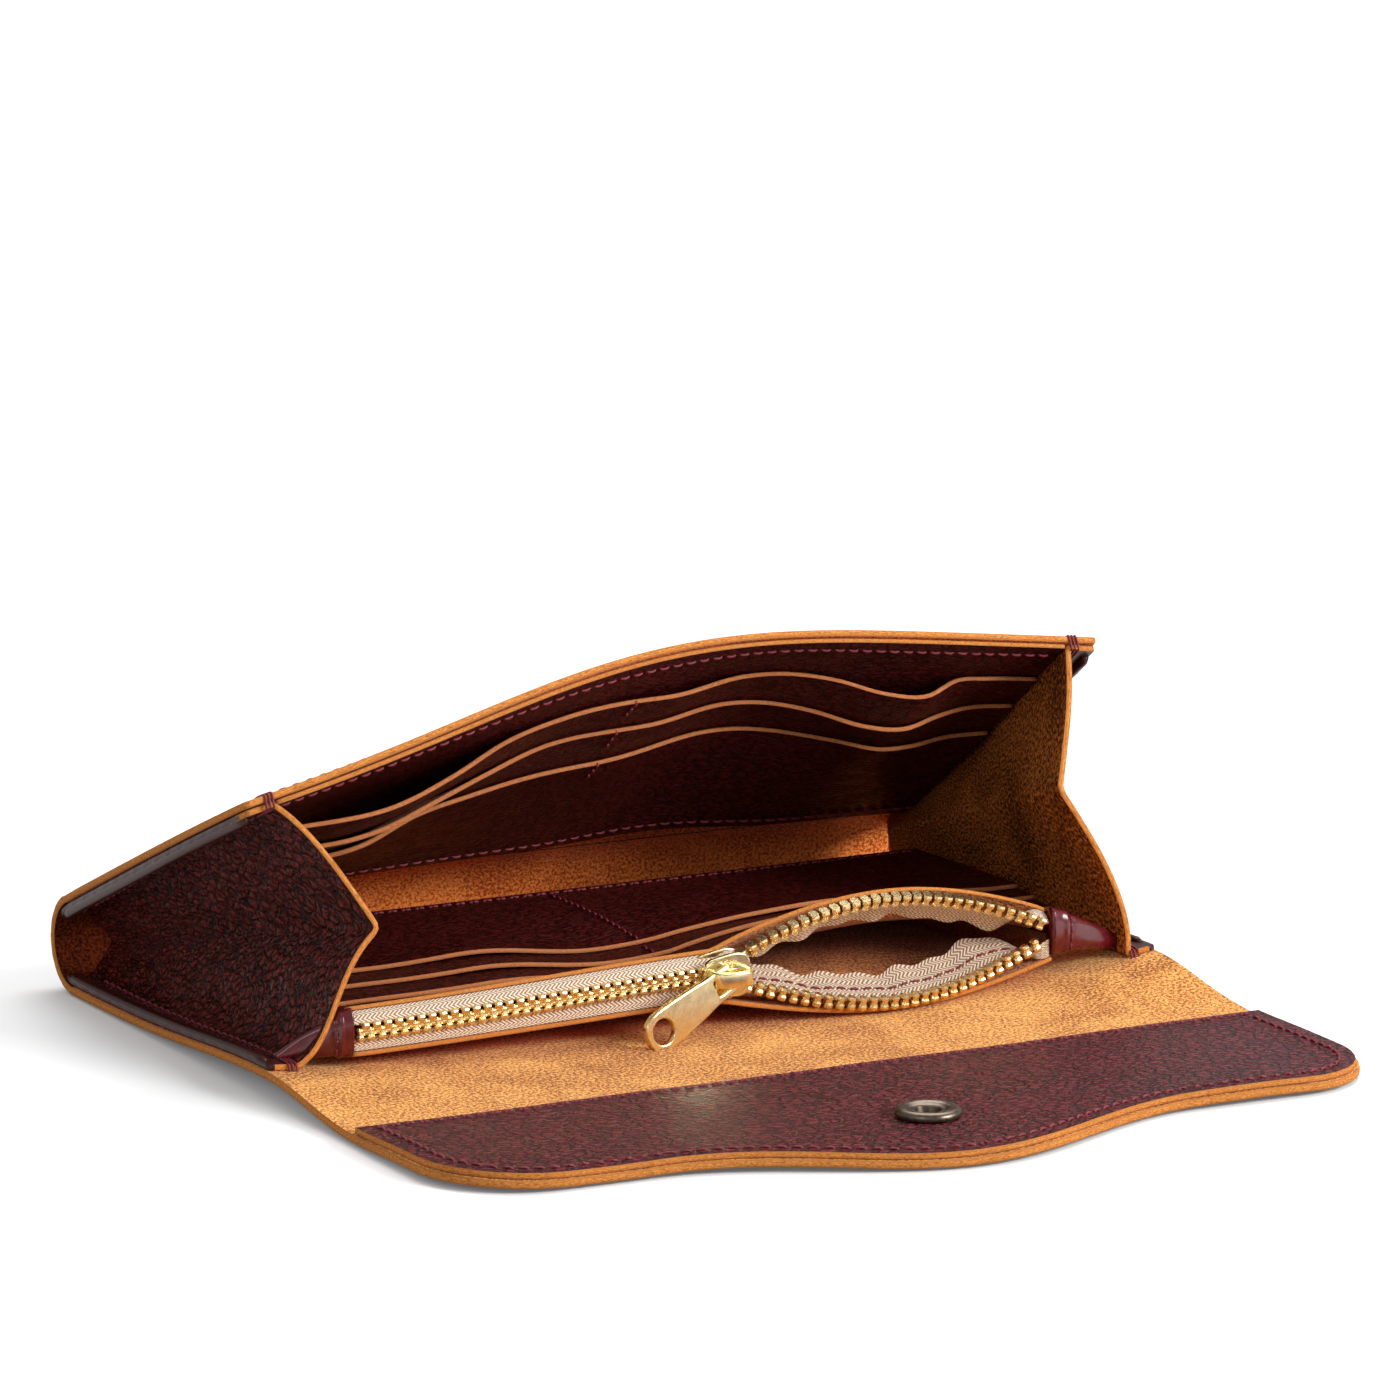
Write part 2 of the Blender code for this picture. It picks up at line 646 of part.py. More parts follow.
def add_flap():
    spine_hinge = (0.0, HINGE_Y, LEATHER)
    tip_hinge = (0.0, TIP_HINGE_Y, LEATHER)

    def flat(x, y):
        return Vector((x, y, LEATHER / 2.0))

    add_sheet(
        "flap_spine",
        spread(-HALF_WIDTH, HALF_WIDTH, 8),
        spread(TIP_HINGE_Y + GAP / 2.0, HINGE_Y - GAP, 4),
        flat,
        LEATHER,
        "suede",
        spine_hinge,
    )

    def tip(x, share):
        start = TIP_HINGE_Y - GAP / 2.0
        return Vector((x, flap_end(x) + (start - flap_end(x)) * share, LEATHER / 2.0))

    rows = spread(0.0, 1.0, 4)
    outer = add_sheet("flap_tip", flap_columns(), rows, tip, LEATHER, "suede", tip_hinge)
    facing_z = LEATHER + GAP + GUSSET / 2.0
    shrink = (HALF_WIDTH - FACING_INSET) / HALF_WIDTH

    def facing(x, share):
        end = flap_end(x) + FACING_INSET
        return Vector((x * shrink, end + (FACING_Y - end) * share, facing_z))

    inner = add_sheet("flap_facing", flap_columns(), rows, facing, GUSSET, "facing", tip_hinge)
    add_snap(outer, inner, tip_hinge)


def add_snap(outer, inner, tip_hinge):
    place = Matrix.Translation((0.0, SNAP_Y, 0.0))
    cut_with(outer, "cap_cutter", CAP_RADIUS + GAP, 20.0 * MM, place)
    cut_with(inner, "post_cutter", 2.2 * MM, 20.0 * MM, place)
    top = LEATHER + GAP + GUSSET
    cap = [(0.0, 0.0), (CAP_RADIUS - 0.8 * MM, 0.0), (CAP_RADIUS, 0.5 * MM), (CAP_RADIUS, 1.3 * MM)]
    cap += [(1.8 * MM, 1.3 * MM), (1.8 * MM, top), (0.0, top)]
    add_lathe("snap_cap", cap, place, "antique", tip_hinge)
    low = top + GAP
    socket = [(0.0, 0.0), (SNAP_RADIUS - 0.5 * MM, 0.0), (SNAP_RADIUS, 0.5 * MM), (SNAP_RADIUS, 1.0 * MM)]
    socket += [(SNAP_RADIUS - 0.7 * MM, 1.7 * MM), (3.9 * MM, 1.9 * MM), (3.3 * MM, 1.5 * MM)]
    socket += [(3.1 * MM, 0.6 * MM), (0.0, 0.6 * MM)]
    add_lathe("snap_socket", socket, place @ Matrix.Translation((0.0, 0.0, low)), "antique", tip_hinge)
    spring = [(2.55 * MM, 0.95 * MM), (2.8 * MM, 0.95 * MM), (2.8 * MM, 1.3 * MM), (2.55 * MM, 1.3 * MM)]
    spring += [(2.55 * MM, 0.95 * MM)]
    add_lathe("snap_spring", spring, place @ Matrix.Translation((0.0, 0.0, low)), "antique", tip_hinge)


def panel_frame(x, s, h):
    """A frame on the front panel's surface: X across, Z outwards."""
    step = 0.5 * MM
    here = front_point(x, s, h)
    across = (front_point(x + step, s, h) - front_point(x - step, s, h)).normalized()
    along = (front_point(x, s - step, h) - front_point(x, s + step, h)).normalized()
    out = across.cross(along).normalized()
    frame = Matrix((across, out.cross(across), out)).transposed().to_4x4()
    frame.translation = here
    return frame


def add_stud(panel, backing, origin):
    """The stud on the front's outside and its post, which is riveted through from behind."""
    surface = panel_frame(0.0, STUD_S, FOLD_RADIUS)
    cut_with(panel, "stud_panel_cutter", 2.2 * MM, 8.0 * MM, surface)
    behind = surface @ Matrix.Translation((0.0, 0.0, -2.6 * MM))
    cut_with(backing, "stud_lining_cutter", 5.0 * MM, 3.2 * MM, behind)
    base = [(0.0, GAP), (STUD_RADIUS - 0.3 * MM, GAP), (STUD_RADIUS, 0.7 * MM), (STUD_RADIUS - 0.3 * MM, 1.1 * MM)]
    base += [(2.1 * MM, 1.3 * MM), (1.75 * MM, 1.8 * MM), (2.05 * MM, 2.5 * MM), (1.5 * MM, 3.1 * MM)]
    base += [(0.0, 3.1 * MM)]
    add_lathe("snap_stud", base, surface, "antique", origin)
    post = [(0.0, -LEATHER - 0.95 * MM), (4.6 * MM, -LEATHER - 0.95 * MM), (4.6 * MM, -LEATHER - GAP)]
    post += [(1.8 * MM, -LEATHER - GAP), (1.8 * MM, 0.0), (0.0, 0.0)]
    add_lathe("stud_post", post, surface, "antique", origin)


clear_scene()
PARTS = make_collection("long_flap_wallet")
CUTTERS = make_collection("cutters")
add_back()
front_leather, front_lining = add_front()
add_stud(front_leather, front_lining, front_point(0.0, STUD_S, FOLD_RADIUS))
for gusset_side, gusset_name, tip_point in ((-1, "left", CREASE_LEFT), (1, "right", CREASE_RIGHT)):
    add_lower_flange(gusset_side, gusset_name)
    add_gusset(gusset_side, gusset_name, tip_point)
    add_end_tab(gusset_side, gusset_name)
add_pouch()
add_teeth(1, "upper")
add_teeth(-1, "lower")
add_tapes()
add_slider()
add_pull()
add_flap()
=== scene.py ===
from math import cos, pi, radians, sin, sqrt

import bpy
import numpy as np
from mathutils import Matrix, Vector


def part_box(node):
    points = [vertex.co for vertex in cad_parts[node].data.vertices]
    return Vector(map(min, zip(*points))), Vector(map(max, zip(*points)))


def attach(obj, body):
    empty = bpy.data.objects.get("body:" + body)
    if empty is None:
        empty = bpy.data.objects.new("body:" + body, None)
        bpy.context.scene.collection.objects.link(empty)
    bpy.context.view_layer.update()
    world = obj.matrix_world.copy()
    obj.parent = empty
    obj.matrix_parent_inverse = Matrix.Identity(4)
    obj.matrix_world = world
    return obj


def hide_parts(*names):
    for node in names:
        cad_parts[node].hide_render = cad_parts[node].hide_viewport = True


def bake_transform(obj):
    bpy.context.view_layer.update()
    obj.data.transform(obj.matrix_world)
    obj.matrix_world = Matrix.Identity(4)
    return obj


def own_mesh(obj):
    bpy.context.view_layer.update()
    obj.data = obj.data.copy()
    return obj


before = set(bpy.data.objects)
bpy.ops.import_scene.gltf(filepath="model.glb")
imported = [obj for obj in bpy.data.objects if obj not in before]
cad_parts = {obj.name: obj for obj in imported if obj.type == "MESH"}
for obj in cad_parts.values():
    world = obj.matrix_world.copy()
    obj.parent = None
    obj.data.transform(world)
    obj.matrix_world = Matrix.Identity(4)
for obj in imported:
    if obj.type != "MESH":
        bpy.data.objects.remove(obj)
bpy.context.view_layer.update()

MM = 0.001


def mm(vector):
    return np.array(vector) / MM


BACK_LOW, BACK_HIGH = (mm(corner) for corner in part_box("back_panel"))
FOLD_HIGH = mm(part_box("bottom_fold")[1])
SNAP_LOW, SNAP_HIGH = (mm(corner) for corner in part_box("snap_socket"))
W = float(BACK_HIGH[0])                # half the wallet's width
T = float(BACK_HIGH[2])                # main leather
FOLD_Y = float(BACK_HIGH[1])
FOLD_R = float(FOLD_HIGH[1]) - FOLD_Y
RING = FOLD_R - T / 2.0
L = 89.0                               # length of the front panel
OPEN = radians(28.5)
TWIST = radians(3.5)
SHUT = radians(2.0)                    # the front's slope when the flap is shut
CLOSING = radians(26.5)                # what the front body turns by for that
THIN = 0.9
GUSSET = 1.2
SPLIT_Y = -25.0                        # the main leather's pieces meet here, on the flap's band
FACING_Y = -41.5
SEAM_X = 93.5
SNAP_Y = float(SNAP_LOW[1] + SNAP_HIGH[1]) / 2.0
CORNER = 20.0
PANEL = 1.35                           # the front panel, thinned towards its edges
TIERS = 3
PITCH = 1.28                           # from one card layer to the next
LAYER_GAP = 0.1
TACK_RADIUS = 0.24
PARAMETERS = {}                        # each sheet's own coordinates, vertex by vertex
ZIP_Y = -2.4
ZIP_Z = 11.0
OPEN_FROM = 2.0                        # the zip gapes from this x to its right end
ZIP_HALF = 79.5
TOOTH_PITCH = 2.4
TOOTH_START = 1.4                      # from the zip's end to its first tooth
TAB_END_X = 96.0
FIBRE = 1.5                            # the scale of the suede's noise


# ---------------------------------------------------------------- shapes

def bump(x, centre, half):
    share = np.clip(np.abs(x - centre) / half, 0.0, 1.0)
    return 0.5 + 0.5 * np.cos(pi * share)


def smooth(x, low, high):
    """From 0 at low to 1 at high; low may be the larger of the two."""
    share = np.clip((x - low) / (high - low), 0.0, 1.0)
    return share * share * (3.0 - 2.0 * share)


def points(*parts):
    return np.stack(np.broadcast_arrays(*parts), axis=-1).astype(float)


def unit(vectors):
    return vectors / np.maximum(np.linalg.norm(vectors, axis=-1, keepdims=True), 1e-9)


def lip_bow(x):
    """How far the lip arches outwards: nearly straight on the left, fullest right of the middle."""
    turn = pi * x / (2.0 * W)
    return 13.6 * np.cos(turn) + 2.4 * np.sin(turn) + 0.5 * np.sin(2.0 * turn) + 1.0 * np.cos(3.0 * turn)


def bow(x, s):
    """The front rises straight to its bowed lip, with a swell right of the middle."""
    share = np.clip(s, 0.0, None) / L
    return lip_bow(x) * share + 3.1 * bump(x, 28.0, 32.0) * np.sin(pi * np.clip(share, 0.0, 1.0))


def front(x, s, h):
    """A point over the front panel: s from the fold, h over the fold's axis."""
    angle = OPEN + TWIST * x / W
    height = h + bow(x, s)
    narrow = 1.0 - 0.021 * np.clip(s / L, 0.0, 1.1) ** 3.6
    y = FOLD_Y + height * np.sin(angle) - s * np.cos(angle)
    z = FOLD_R + height * np.cos(angle) + s * np.sin(angle)
    return points(x * narrow, y, z)


def lift(x, y):
    """The mouth's corners stand a little off the table, the right one more."""
    side = np.abs(x / W) ** 3
    amount = 0.4 + side * np.where(x < 0.0, 3.2, 5.2)
    reach = np.where(y > -2.0, 44.0, 24.0)
    return amount * np.exp(-(((y + 2.0) / reach) ** 2))


def zip_rise(x):
    return -0.3 + 3.0 * smooth(x, -85.0, 15.0)


def zip_shift(x):
    return -2.2 - 0.8 * smooth(x, -50.0, 10.0) - 1.4 * smooth(x, 25.0, 80.0)


def lens(x):
    share = np.clip((x - OPEN_FROM) / (ZIP_HALF - OPEN_FROM), 0.0, 1.0)
    return np.sin(pi * share) ** 0.85


def lower_rise(x, y):
    fade = np.clip((45.0 - y) / 45.0, 0.0, 1.0)
    return 9.0 * lens(x) * fade**2 + zip_rise(x) * np.clip((70.0 - y) / 70.0, 0.0, 1.0)


def wall_low(x, y):
    share = np.clip(1.0 - y / 25.0, 0.0, 1.0) ** 2
    swell = 5.2 * lens(x) * smooth(y, 2.0, 30.0) * smooth(y, 76.0, 45.0)
    return 2.5 + (4.0 + 0.6 * zip_rise(x)) * share * (1.0 - 0.9 * lens(x)) + swell


def wall_top(x, y):
    share = np.clip(1.0 - y / 10.0, 0.0, 1.0) ** 2
    return 9.9 + 6.0 * share * (1.0 - 0.25 * lens(x)) + lower_rise(x, y) - lower_dip(x, y) * smooth(y, 4.0, 16.0)


def zip_path(x, side):
    gape = lens(x)
    if side > 0:
        return points(x + zip_shift(x), ZIP_Y + 2.0 * gape**2, ZIP_Z + zip_rise(x) + 9.6 * gape)
    return points(x + zip_shift(x), ZIP_Y - 4.6 * gape**2, ZIP_Z + zip_rise(x) - 8.6 * gape)


def flap_end(x):
    inset = np.clip(np.abs(x) - (W - CORNER), 0.0, CORNER)
    rounding = CORNER - np.sqrt(np.maximum(CORNER**2 - inset**2, 0.0))
    return -89.7 - 0.028 * x + rounding - 18.5 * bump(x, -2.0, 58.0)


def widen(y):
    return 1.0 + 0.008 * np.exp(-(((y + 50.0) / 24.0) ** 2))


def wave(x, y):
    """The flap doesn't lie quite flat."""
    ripple = 0.25 * np.sin(x / 17.0 + 1.0) * np.sin(y / 14.0) + 0.2 * np.sin(x / 9.0)
    return (0.45 + ripple) * smooth(-y, 30.0, 60.0)


def spread(start, end, count):
    return np.linspace(start, end, count + 1)


# ---------------------------------------------------------------- meshes

def link(name, mesh):
    item = bpy.data.objects.new(name, mesh)
    bpy.context.scene.collection.objects.link(item)
    return item


def make_mesh(name, verts, faces, skins, picks=None, rest=None):
    mesh = bpy.data.meshes.new(name)
    mesh.from_pydata((np.asarray(verts, float) * MM).tolist(), [], faces)
    for skin in skins:
        mesh.materials.append(skin)
    mesh.polygons.foreach_set("use_smooth", [True] * len(mesh.polygons))
    if picks is not None:
        mesh.polygons.foreach_set("material_index", picks)
    flow = mesh.attributes.new("rest", "FLOAT_VECTOR", "POINT")
    flow.data.foreach_set("vector", np.asarray(verts if rest is None else rest, np.float32).ravel())
    return link(name, mesh)


def rim(nu, nv):
    """Grid positions round the border, counter-clockwise, and the side each step runs along."""
    walk = [(i, 0, "v0") for i in range(nu - 1)]
    walk += [(nu - 1, j, "u1") for j in range(nv - 1)]
    walk += [(i, nv - 1, "v1") for i in range(nu - 1, 0, -1)]
    walk += [(0, j, "u0") for j in range(nv - 1, 0, -1)]
    return walk


def sheet(name, us, vs, middle, thick, skins, open_sides=(), texture=None, fuzz=0.0):
    """Leather or cloth of real thickness: skins are (upper side, lower side, cut edge)."""
    nu = len(us)
    nv = len(vs)
    grid_u, grid_v = np.meshgrid(us, vs, indexing="ij")
    mid = middle(grid_u, grid_v)
    along = np.gradient(mid, axis=0)
    across = np.gradient(mid, axis=1)
    normal = unit(np.cross(along, across))
    flow = texture(grid_u, grid_v) if texture else arc_lengths(mid)
    walk = rim(nu, nv)
    at = np.array([(i, j) for i, j, _ in walk])
    out = np.zeros((len(walk), 3))
    for k, (i, j, _) in enumerate(walk):
        for tangent, here, last in ((along, i, nu - 1), (across, j, nv - 1)):
            if here == 0:
                out[k] -= unit(tangent[i, j])
            elif here == last:
                out[k] += unit(tangent[i, j])
    out = unit(out)
    shake = 1.0 + fuzz * np.sin(np.arange(len(walk)) * 2.399) * np.cos(np.arange(len(walk)) * 0.731)
    border = mid[at[:, 0], at[:, 1]]
    lean = normal[at[:, 0], at[:, 1]]
    reach = out * (0.16 * thick * shake)[:, None]
    rings = [border + lean * (thick * 0.3) + reach, border - lean * (thick * 0.3) + reach]
    side_flow = flow[at[:, 0], at[:, 1]]
    verts = [(mid + normal * thick / 2.0).reshape(-1, 3), (mid - normal * thick / 2.0).reshape(-1, 3)] + rings
    rest = [points(flow[..., 0], flow[..., 1], 0.0).reshape(-1, 3)]
    rest.append(points(flow[..., 0], flow[..., 1], 40.0).reshape(-1, 3))
    rest += [points(side_flow[:, 0], side_flow[:, 1], 80.0), points(side_flow[:, 0], side_flow[:, 1], 80.8)]
    faces = []
    picks = []
    size = nu * nv
    index = np.arange(size).reshape(nu, nv)
    a, b, c, d = (index[:-1, :-1], index[1:, :-1], index[1:, 1:], index[:-1, 1:])
    quads = np.stack([a, b, c, d], axis=-1).reshape(-1, 4)
    faces += quads.tolist()
    picks += [0] * len(quads)
    faces += (quads[:, ::-1] + size).tolist()
    picks += [1] * len(quads)
    count = len(walk)
    sharp = set()
    for k, (i, j, side) in enumerate(walk):
        if side in open_sides:
            continue
        n = (k + 1) % count
        here = int(index[i, j])
        there = int(index[walk[n][0], walk[n][1]])
        loop = [here, 2 * size + k, 2 * size + count + k, here + size]
        following = [there, 2 * size + n, 2 * size + count + n, there + size]
        for step in range(3):
            faces.append([loop[step], loop[step + 1], following[step + 1], following[step]])
            picks.append(2)
        sharp.add(frozenset((here, there)))
        sharp.add(frozenset((here + size, there + size)))
    item = make_mesh(name, np.concatenate(verts), faces, skins, picks, np.concatenate(rest))
    own = points(grid_u, grid_v).reshape(-1, 2)
    own_rim = points(grid_u, grid_v)[at[:, 0], at[:, 1]]
    PARAMETERS[name] = np.concatenate([own, own, own_rim, own_rim])
    marks = item.data.attributes.new("sharp_edge", "BOOLEAN", "EDGE")
    marks.data.foreach_set("value", [frozenset(edge.vertices) in sharp for edge in item.data.edges])
    return item


def arc_lengths(mid):
    """Texture coordinates in millimetres along the sheet's middle lines."""
    half_v = mid.shape[1] // 2
    half_u = mid.shape[0] // 2
    u = np.concatenate([[0.0], np.cumsum(np.linalg.norm(np.diff(mid[:, half_v], axis=0), axis=1))])
    v = np.concatenate([[0.0], np.cumsum(np.linalg.norm(np.diff(mid[half_u], axis=0), axis=1))])
    return points(u[:, None], v[None, :])


def ring_faces(rings, around, start=0):
    """The sides of a stack of rings, then its two ends."""
    faces = []
    for i in range(rings - 1):
        a = start + i * around
        for k in range(around):
            n = (k + 1) % around
            faces.append([a + k, a + n, a + around + n, a + around + k])
    faces.append([start + k for k in reversed(range(around))])
    faces.append([start + (rings - 1) * around + k for k in range(around)])
    return faces


def tube_mesh(paths, radii, sides=7):
    """Round tubes along paths; radii has one value for each point of a path."""
    verts = []
    faces = []
    turn = np.linspace(0.0, 2.0 * pi, sides, endpoint=False)
    for path, radius in zip(paths, radii):
        path = np.asarray(path, float)
        tangent = unit(np.gradient(path, axis=0))
        helper = np.array([0.0, 0.0, 1.0]) if abs(tangent[0][2]) < 0.8 else np.array([1.0, 0.0, 0.0])
        one = unit(np.cross(tangent, helper))
        two = np.cross(tangent, one)
        start = sum(len(v) for v in verts)
        ring = (
            path[:, None]
            + one[:, None] * (np.cos(turn) * np.asarray(radius)[:, None])[..., None]
            + two[:, None] * (np.sin(turn) * np.asarray(radius)[:, None])[..., None]
        )
        verts.append(ring.reshape(-1, 3))
        faces += ring_faces(len(path), sides, start)
    return np.concatenate(verts), faces


def resample(path, step):
    path = np.asarray(path, float)
    run = np.concatenate([[0.0], np.cumsum(np.linalg.norm(np.diff(path, axis=0), axis=1))])
    count = max(int(round(run[-1] / step)), 1)
    marks = np.linspace(0.0, run[-1], count + 1)
    return np.stack([np.interp(marks, run, path[:, k]) for k in range(3)], axis=1)


def stitches(name, path, up, skin, pitch=3.0, radius=0.3, gap=0.28):
    """A seam: short threads that dip into the leather at both ends. up is the surface's normal."""
    marks = resample(path, pitch)
    up = np.asarray(up, float)
    ups = np.broadcast_to(up, np.asarray(path).shape) if up.ndim == 1 else up
    normals = unit(np.stack([np.interp(np.linspace(0, 1, len(marks)), np.linspace(0, 1, len(ups)), ups[:, k])
                             for k in range(3)], axis=1))
    paths = []
    radii = []
    shares = np.array([0.0, 0.12, 0.35, 0.65, 0.88, 1.0])
    heights = np.array([-0.35, 0.08, 0.22, 0.22, 0.08, -0.35])
    for k, (start, end) in enumerate(zip(marks, marks[1:])):
        step = end - start
        low = start + step * gap / 2.0
        high = end - step * gap / 2.0
        line = low + (high - low) * shares[:, None] + normals[k] * heights[:, None]
        paths.append(line)
        radii.append(radius * np.array([0.7, 1.0, 1.0, 1.0, 1.0, 0.7]))
    verts, faces = tube_mesh(paths, radii)
    return make_mesh(name, verts, faces, [skin])


# ---------------------------------------------------------------- riding

def on_back(item):
    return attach(item, "wallet_back")


def rest_points(item):
    flat = np.zeros(len(item.data.vertices) * 3)
    item.data.vertices.foreach_get("co", flat)
    return flat.reshape(-1, 3) / MM


def front_share(x, s):
    """The share of the front body's turn that lays a point of the bowed, twisted front flat."""
    angle = OPEN + TWIST * x / W
    extra = np.arctan2(bow(x, s), np.maximum(s, 6.0)) * np.clip(s / 6.0, 0.0, 1.0)
    return (angle - SHUT + extra) / CLOSING


def close_with(item, shares):
    """Bakes the piece's placement into its mesh; it doesn't turn the piece, and shares is not used."""
    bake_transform(item)
    return item


def on_front(item):
    at = rest_points(item)
    angle = OPEN + TWIST * at[:, 0] / W
    s = -(at[:, 1] - FOLD_Y) * np.cos(angle) + (at[:, 2] - FOLD_R) * np.sin(angle)
    return close_with(item, front_share(at[:, 0], s))


# ---------------------------------------------------------------- materials

def new_shader(name):
    material = bpy.data.materials.new(name)
    material.use_nodes = True
    tree = material.node_tree
    return material, tree, tree.nodes["Principled BSDF"]


def add_node(tree, kind, **settings):
    node = tree.nodes.new(kind)
    for key, value in settings.items():
        if key in node.inputs:
            node.inputs[key].default_value = value
        else:
            setattr(node, key, value)
    return node


def coordinates(tree, stretch=(1.0, 1.0, 1.0)):
    """The piece's own coordinates in millimetres, which stay with it as it moves."""
    rest = add_node(tree, "ShaderNodeAttribute", attribute_name="rest")
    scale = add_node(tree, "ShaderNodeVectorMath", operation="MULTIPLY")
    scale.inputs[1].default_value = stretch
    tree.links.new(rest.outputs["Vector"], scale.inputs[0])
    return scale.outputs[0]


def noise_of(tree, vector, scale, detail=2.0, roughness=0.5, distortion=0.0):
    node = add_node(tree, "ShaderNodeTexNoise", Scale=scale, Detail=detail, Roughness=roughness,
                    Distortion=distortion)
    tree.links.new(vector, node.inputs["Vector"])
    return node.outputs["Fac"]


def cells_of(tree, vector, scale):
    node = add_node(tree, "ShaderNodeTexVoronoi", feature="DISTANCE_TO_EDGE")
    node.inputs["Scale"].default_value = scale
    tree.links.new(vector, node.inputs["Vector"])
    return node.outputs["Distance"]


def remap(tree, value, low, high, to_low=0.0, to_high=1.0):
    node = add_node(tree, "ShaderNodeMapRange", interpolation_type="SMOOTHSTEP")
    for socket, number in zip(("From Min", "From Max", "To Min", "To Max"), (low, high, to_low, to_high)):
        node.inputs[socket].default_value = number
    tree.links.new(value, node.inputs["Value"])
    return node.outputs["Result"]


def calc(tree, operation, a, b):
    node = add_node(tree, "ShaderNodeMath", operation=operation)
    for socket, value in zip(node.inputs, (a, b)):
        if isinstance(value, (int, float)):
            socket.default_value = value
        else:
            tree.links.new(value, socket)
    return node.outputs[0]


def ramp(tree, value, stops):
    node = add_node(tree, "ShaderNodeValToRGB")
    elements = node.color_ramp.elements
    while len(elements) < len(stops):
        elements.new(0.5)
    for element, (place, colour) in zip(elements, stops):
        element.position = place
        element.color = (*colour, 1.0)
    tree.links.new(value, node.inputs["Fac"])
    return node.outputs["Color"]


def bumpy(tree, shader, height, strength, distance=0.0003):
    node = add_node(tree, "ShaderNodeBump", Strength=strength, Distance=distance)
    tree.links.new(height, node.inputs["Height"])
    tree.links.new(node.outputs["Normal"], shader.inputs["Normal"])


def warped(tree, vector, scale, amount):
    """The coordinates pushed about by noise, so that cells aren't too regular."""
    push = add_node(tree, "ShaderNodeTexNoise", Scale=scale, Detail=2.0)
    tree.links.new(vector, push.inputs["Vector"])
    centred = add_node(tree, "ShaderNodeVectorMath", operation="SUBTRACT")
    centred.inputs[1].default_value = (0.5, 0.5, 0.5)
    tree.links.new(push.outputs["Color"], centred.inputs[0])
    scaled = add_node(tree, "ShaderNodeVectorMath", operation="SCALE")
    scaled.inputs["Scale"].default_value = amount
    tree.links.new(centred.outputs[0], scaled.inputs[0])
    total = add_node(tree, "ShaderNodeVectorMath", operation="ADD")
    tree.links.new(vector, total.inputs[0])
    tree.links.new(scaled.outputs[0], total.inputs[1])
    return total.outputs[0]


def grain(name, dark, light, roughness, cell, depth, specular, stretch=(1.0, 1.0, 1.0), relief=0.0007,
          pebble_tone_and_shade=0.42):
    """Pebbled leather: cells, fine pores and broad creases."""
    material, tree, shader = new_shader(name)
    where = warped(tree, coordinates(tree, stretch), 0.5, 1.1)
    cells = remap(tree, cells_of(tree, where, cell), 0.0, 0.26)
    small = remap(tree, cells_of(tree, where, cell * 2.3), 0.0, 0.25)
    fine = noise_of(tree, where, 3.2, 3.0, 0.6)
    creases = noise_of(tree, where, 0.22, 4.0, 0.62, 0.6)
    broad = noise_of(tree, where, 0.035, 3.0)
    height = calc(tree, "ADD", calc(tree, "MULTIPLY", cells, 0.8), calc(tree, "MULTIPLY", small, 0.3))
    height = calc(tree, "ADD", height, calc(tree, "MULTIPLY", fine, 0.25))
    height = calc(tree, "ADD", height, calc(tree, "MULTIPLY", creases, 1.1))
    bumpy(tree, shader, height, depth, relief)
    # The tone follows the relief: the valleys between the cells and the low parts of the creases are darker, partly
    # the leather's own colour and partly painted shade.
    tone = calc(tree, "ADD", calc(tree, "MULTIPLY", cells, pebble_tone_and_shade), calc(tree, "MULTIPLY", small, 0.16))
    tone = calc(tree, "ADD", tone, calc(tree, "MULTIPLY", broad, 0.3))
    tone = calc(tree, "ADD", tone, calc(tree, "MULTIPLY", creases, 0.35))
    colour = ramp(tree, tone, ((0.35, dark), (0.92, light)))
    tree.links.new(colour, shader.inputs["Base Color"])
    rough = remap(tree, creases, 0.3, 0.75, roughness - 0.07, roughness + 0.1)
    tree.links.new(rough, shader.inputs["Roughness"])
    shader.inputs["Specular IOR Level"].default_value = specular
    return material


def suede(name, dark, middle, light, nap=0.12):
    """Napped leather: fine fibres with scattered dark flecks and brushed patches."""
    material, tree, shader = new_shader(name)
    where = coordinates(tree)
    fleck = noise_of(tree, where, FIBRE, 3.0, 0.65)
    fine = noise_of(tree, where, FIBRE * 3.1, 2.0, 0.6)
    patch = noise_of(tree, where, 0.05, 4.0, 0.6, 0.8)
    tone = calc(tree, "ADD", calc(tree, "MULTIPLY", fleck, 0.75), calc(tree, "MULTIPLY", fine, 0.3))
    tone = calc(tree, "ADD", tone, calc(tree, "MULTIPLY", calc(tree, "SUBTRACT", patch, 0.5), 0.22))
    colour = ramp(tree, tone, ((0.45, dark), (0.525, middle), (0.60, light)))
    tree.links.new(colour, shader.inputs["Base Color"])
    bumpy(tree, shader, calc(tree, "ADD", fleck, calc(tree, "MULTIPLY", fine, 0.5)), 0.7)
    shader.inputs["Roughness"].default_value = 0.95
    shader.inputs["Specular IOR Level"].default_value = 0.12
    shader.inputs["Sheen Weight"].default_value = nap
    return material


def cut_edge(name, dark, light):
    """A raw cut edge: packed fibres that run with the leather."""
    material, tree, shader = new_shader(name)
    where = coordinates(tree, (1.6, 1.6, 6.0))
    fibre = noise_of(tree, where, 0.9, 4.0, 0.7)
    colour = ramp(tree, fibre, ((0.32, dark), (0.62, light)))
    tree.links.new(colour, shader.inputs["Base Color"])
    bumpy(tree, shader, fibre, 0.8)
    shader.inputs["Roughness"].default_value = 0.85
    shader.inputs["Specular IOR Level"].default_value = 0.2
    return material


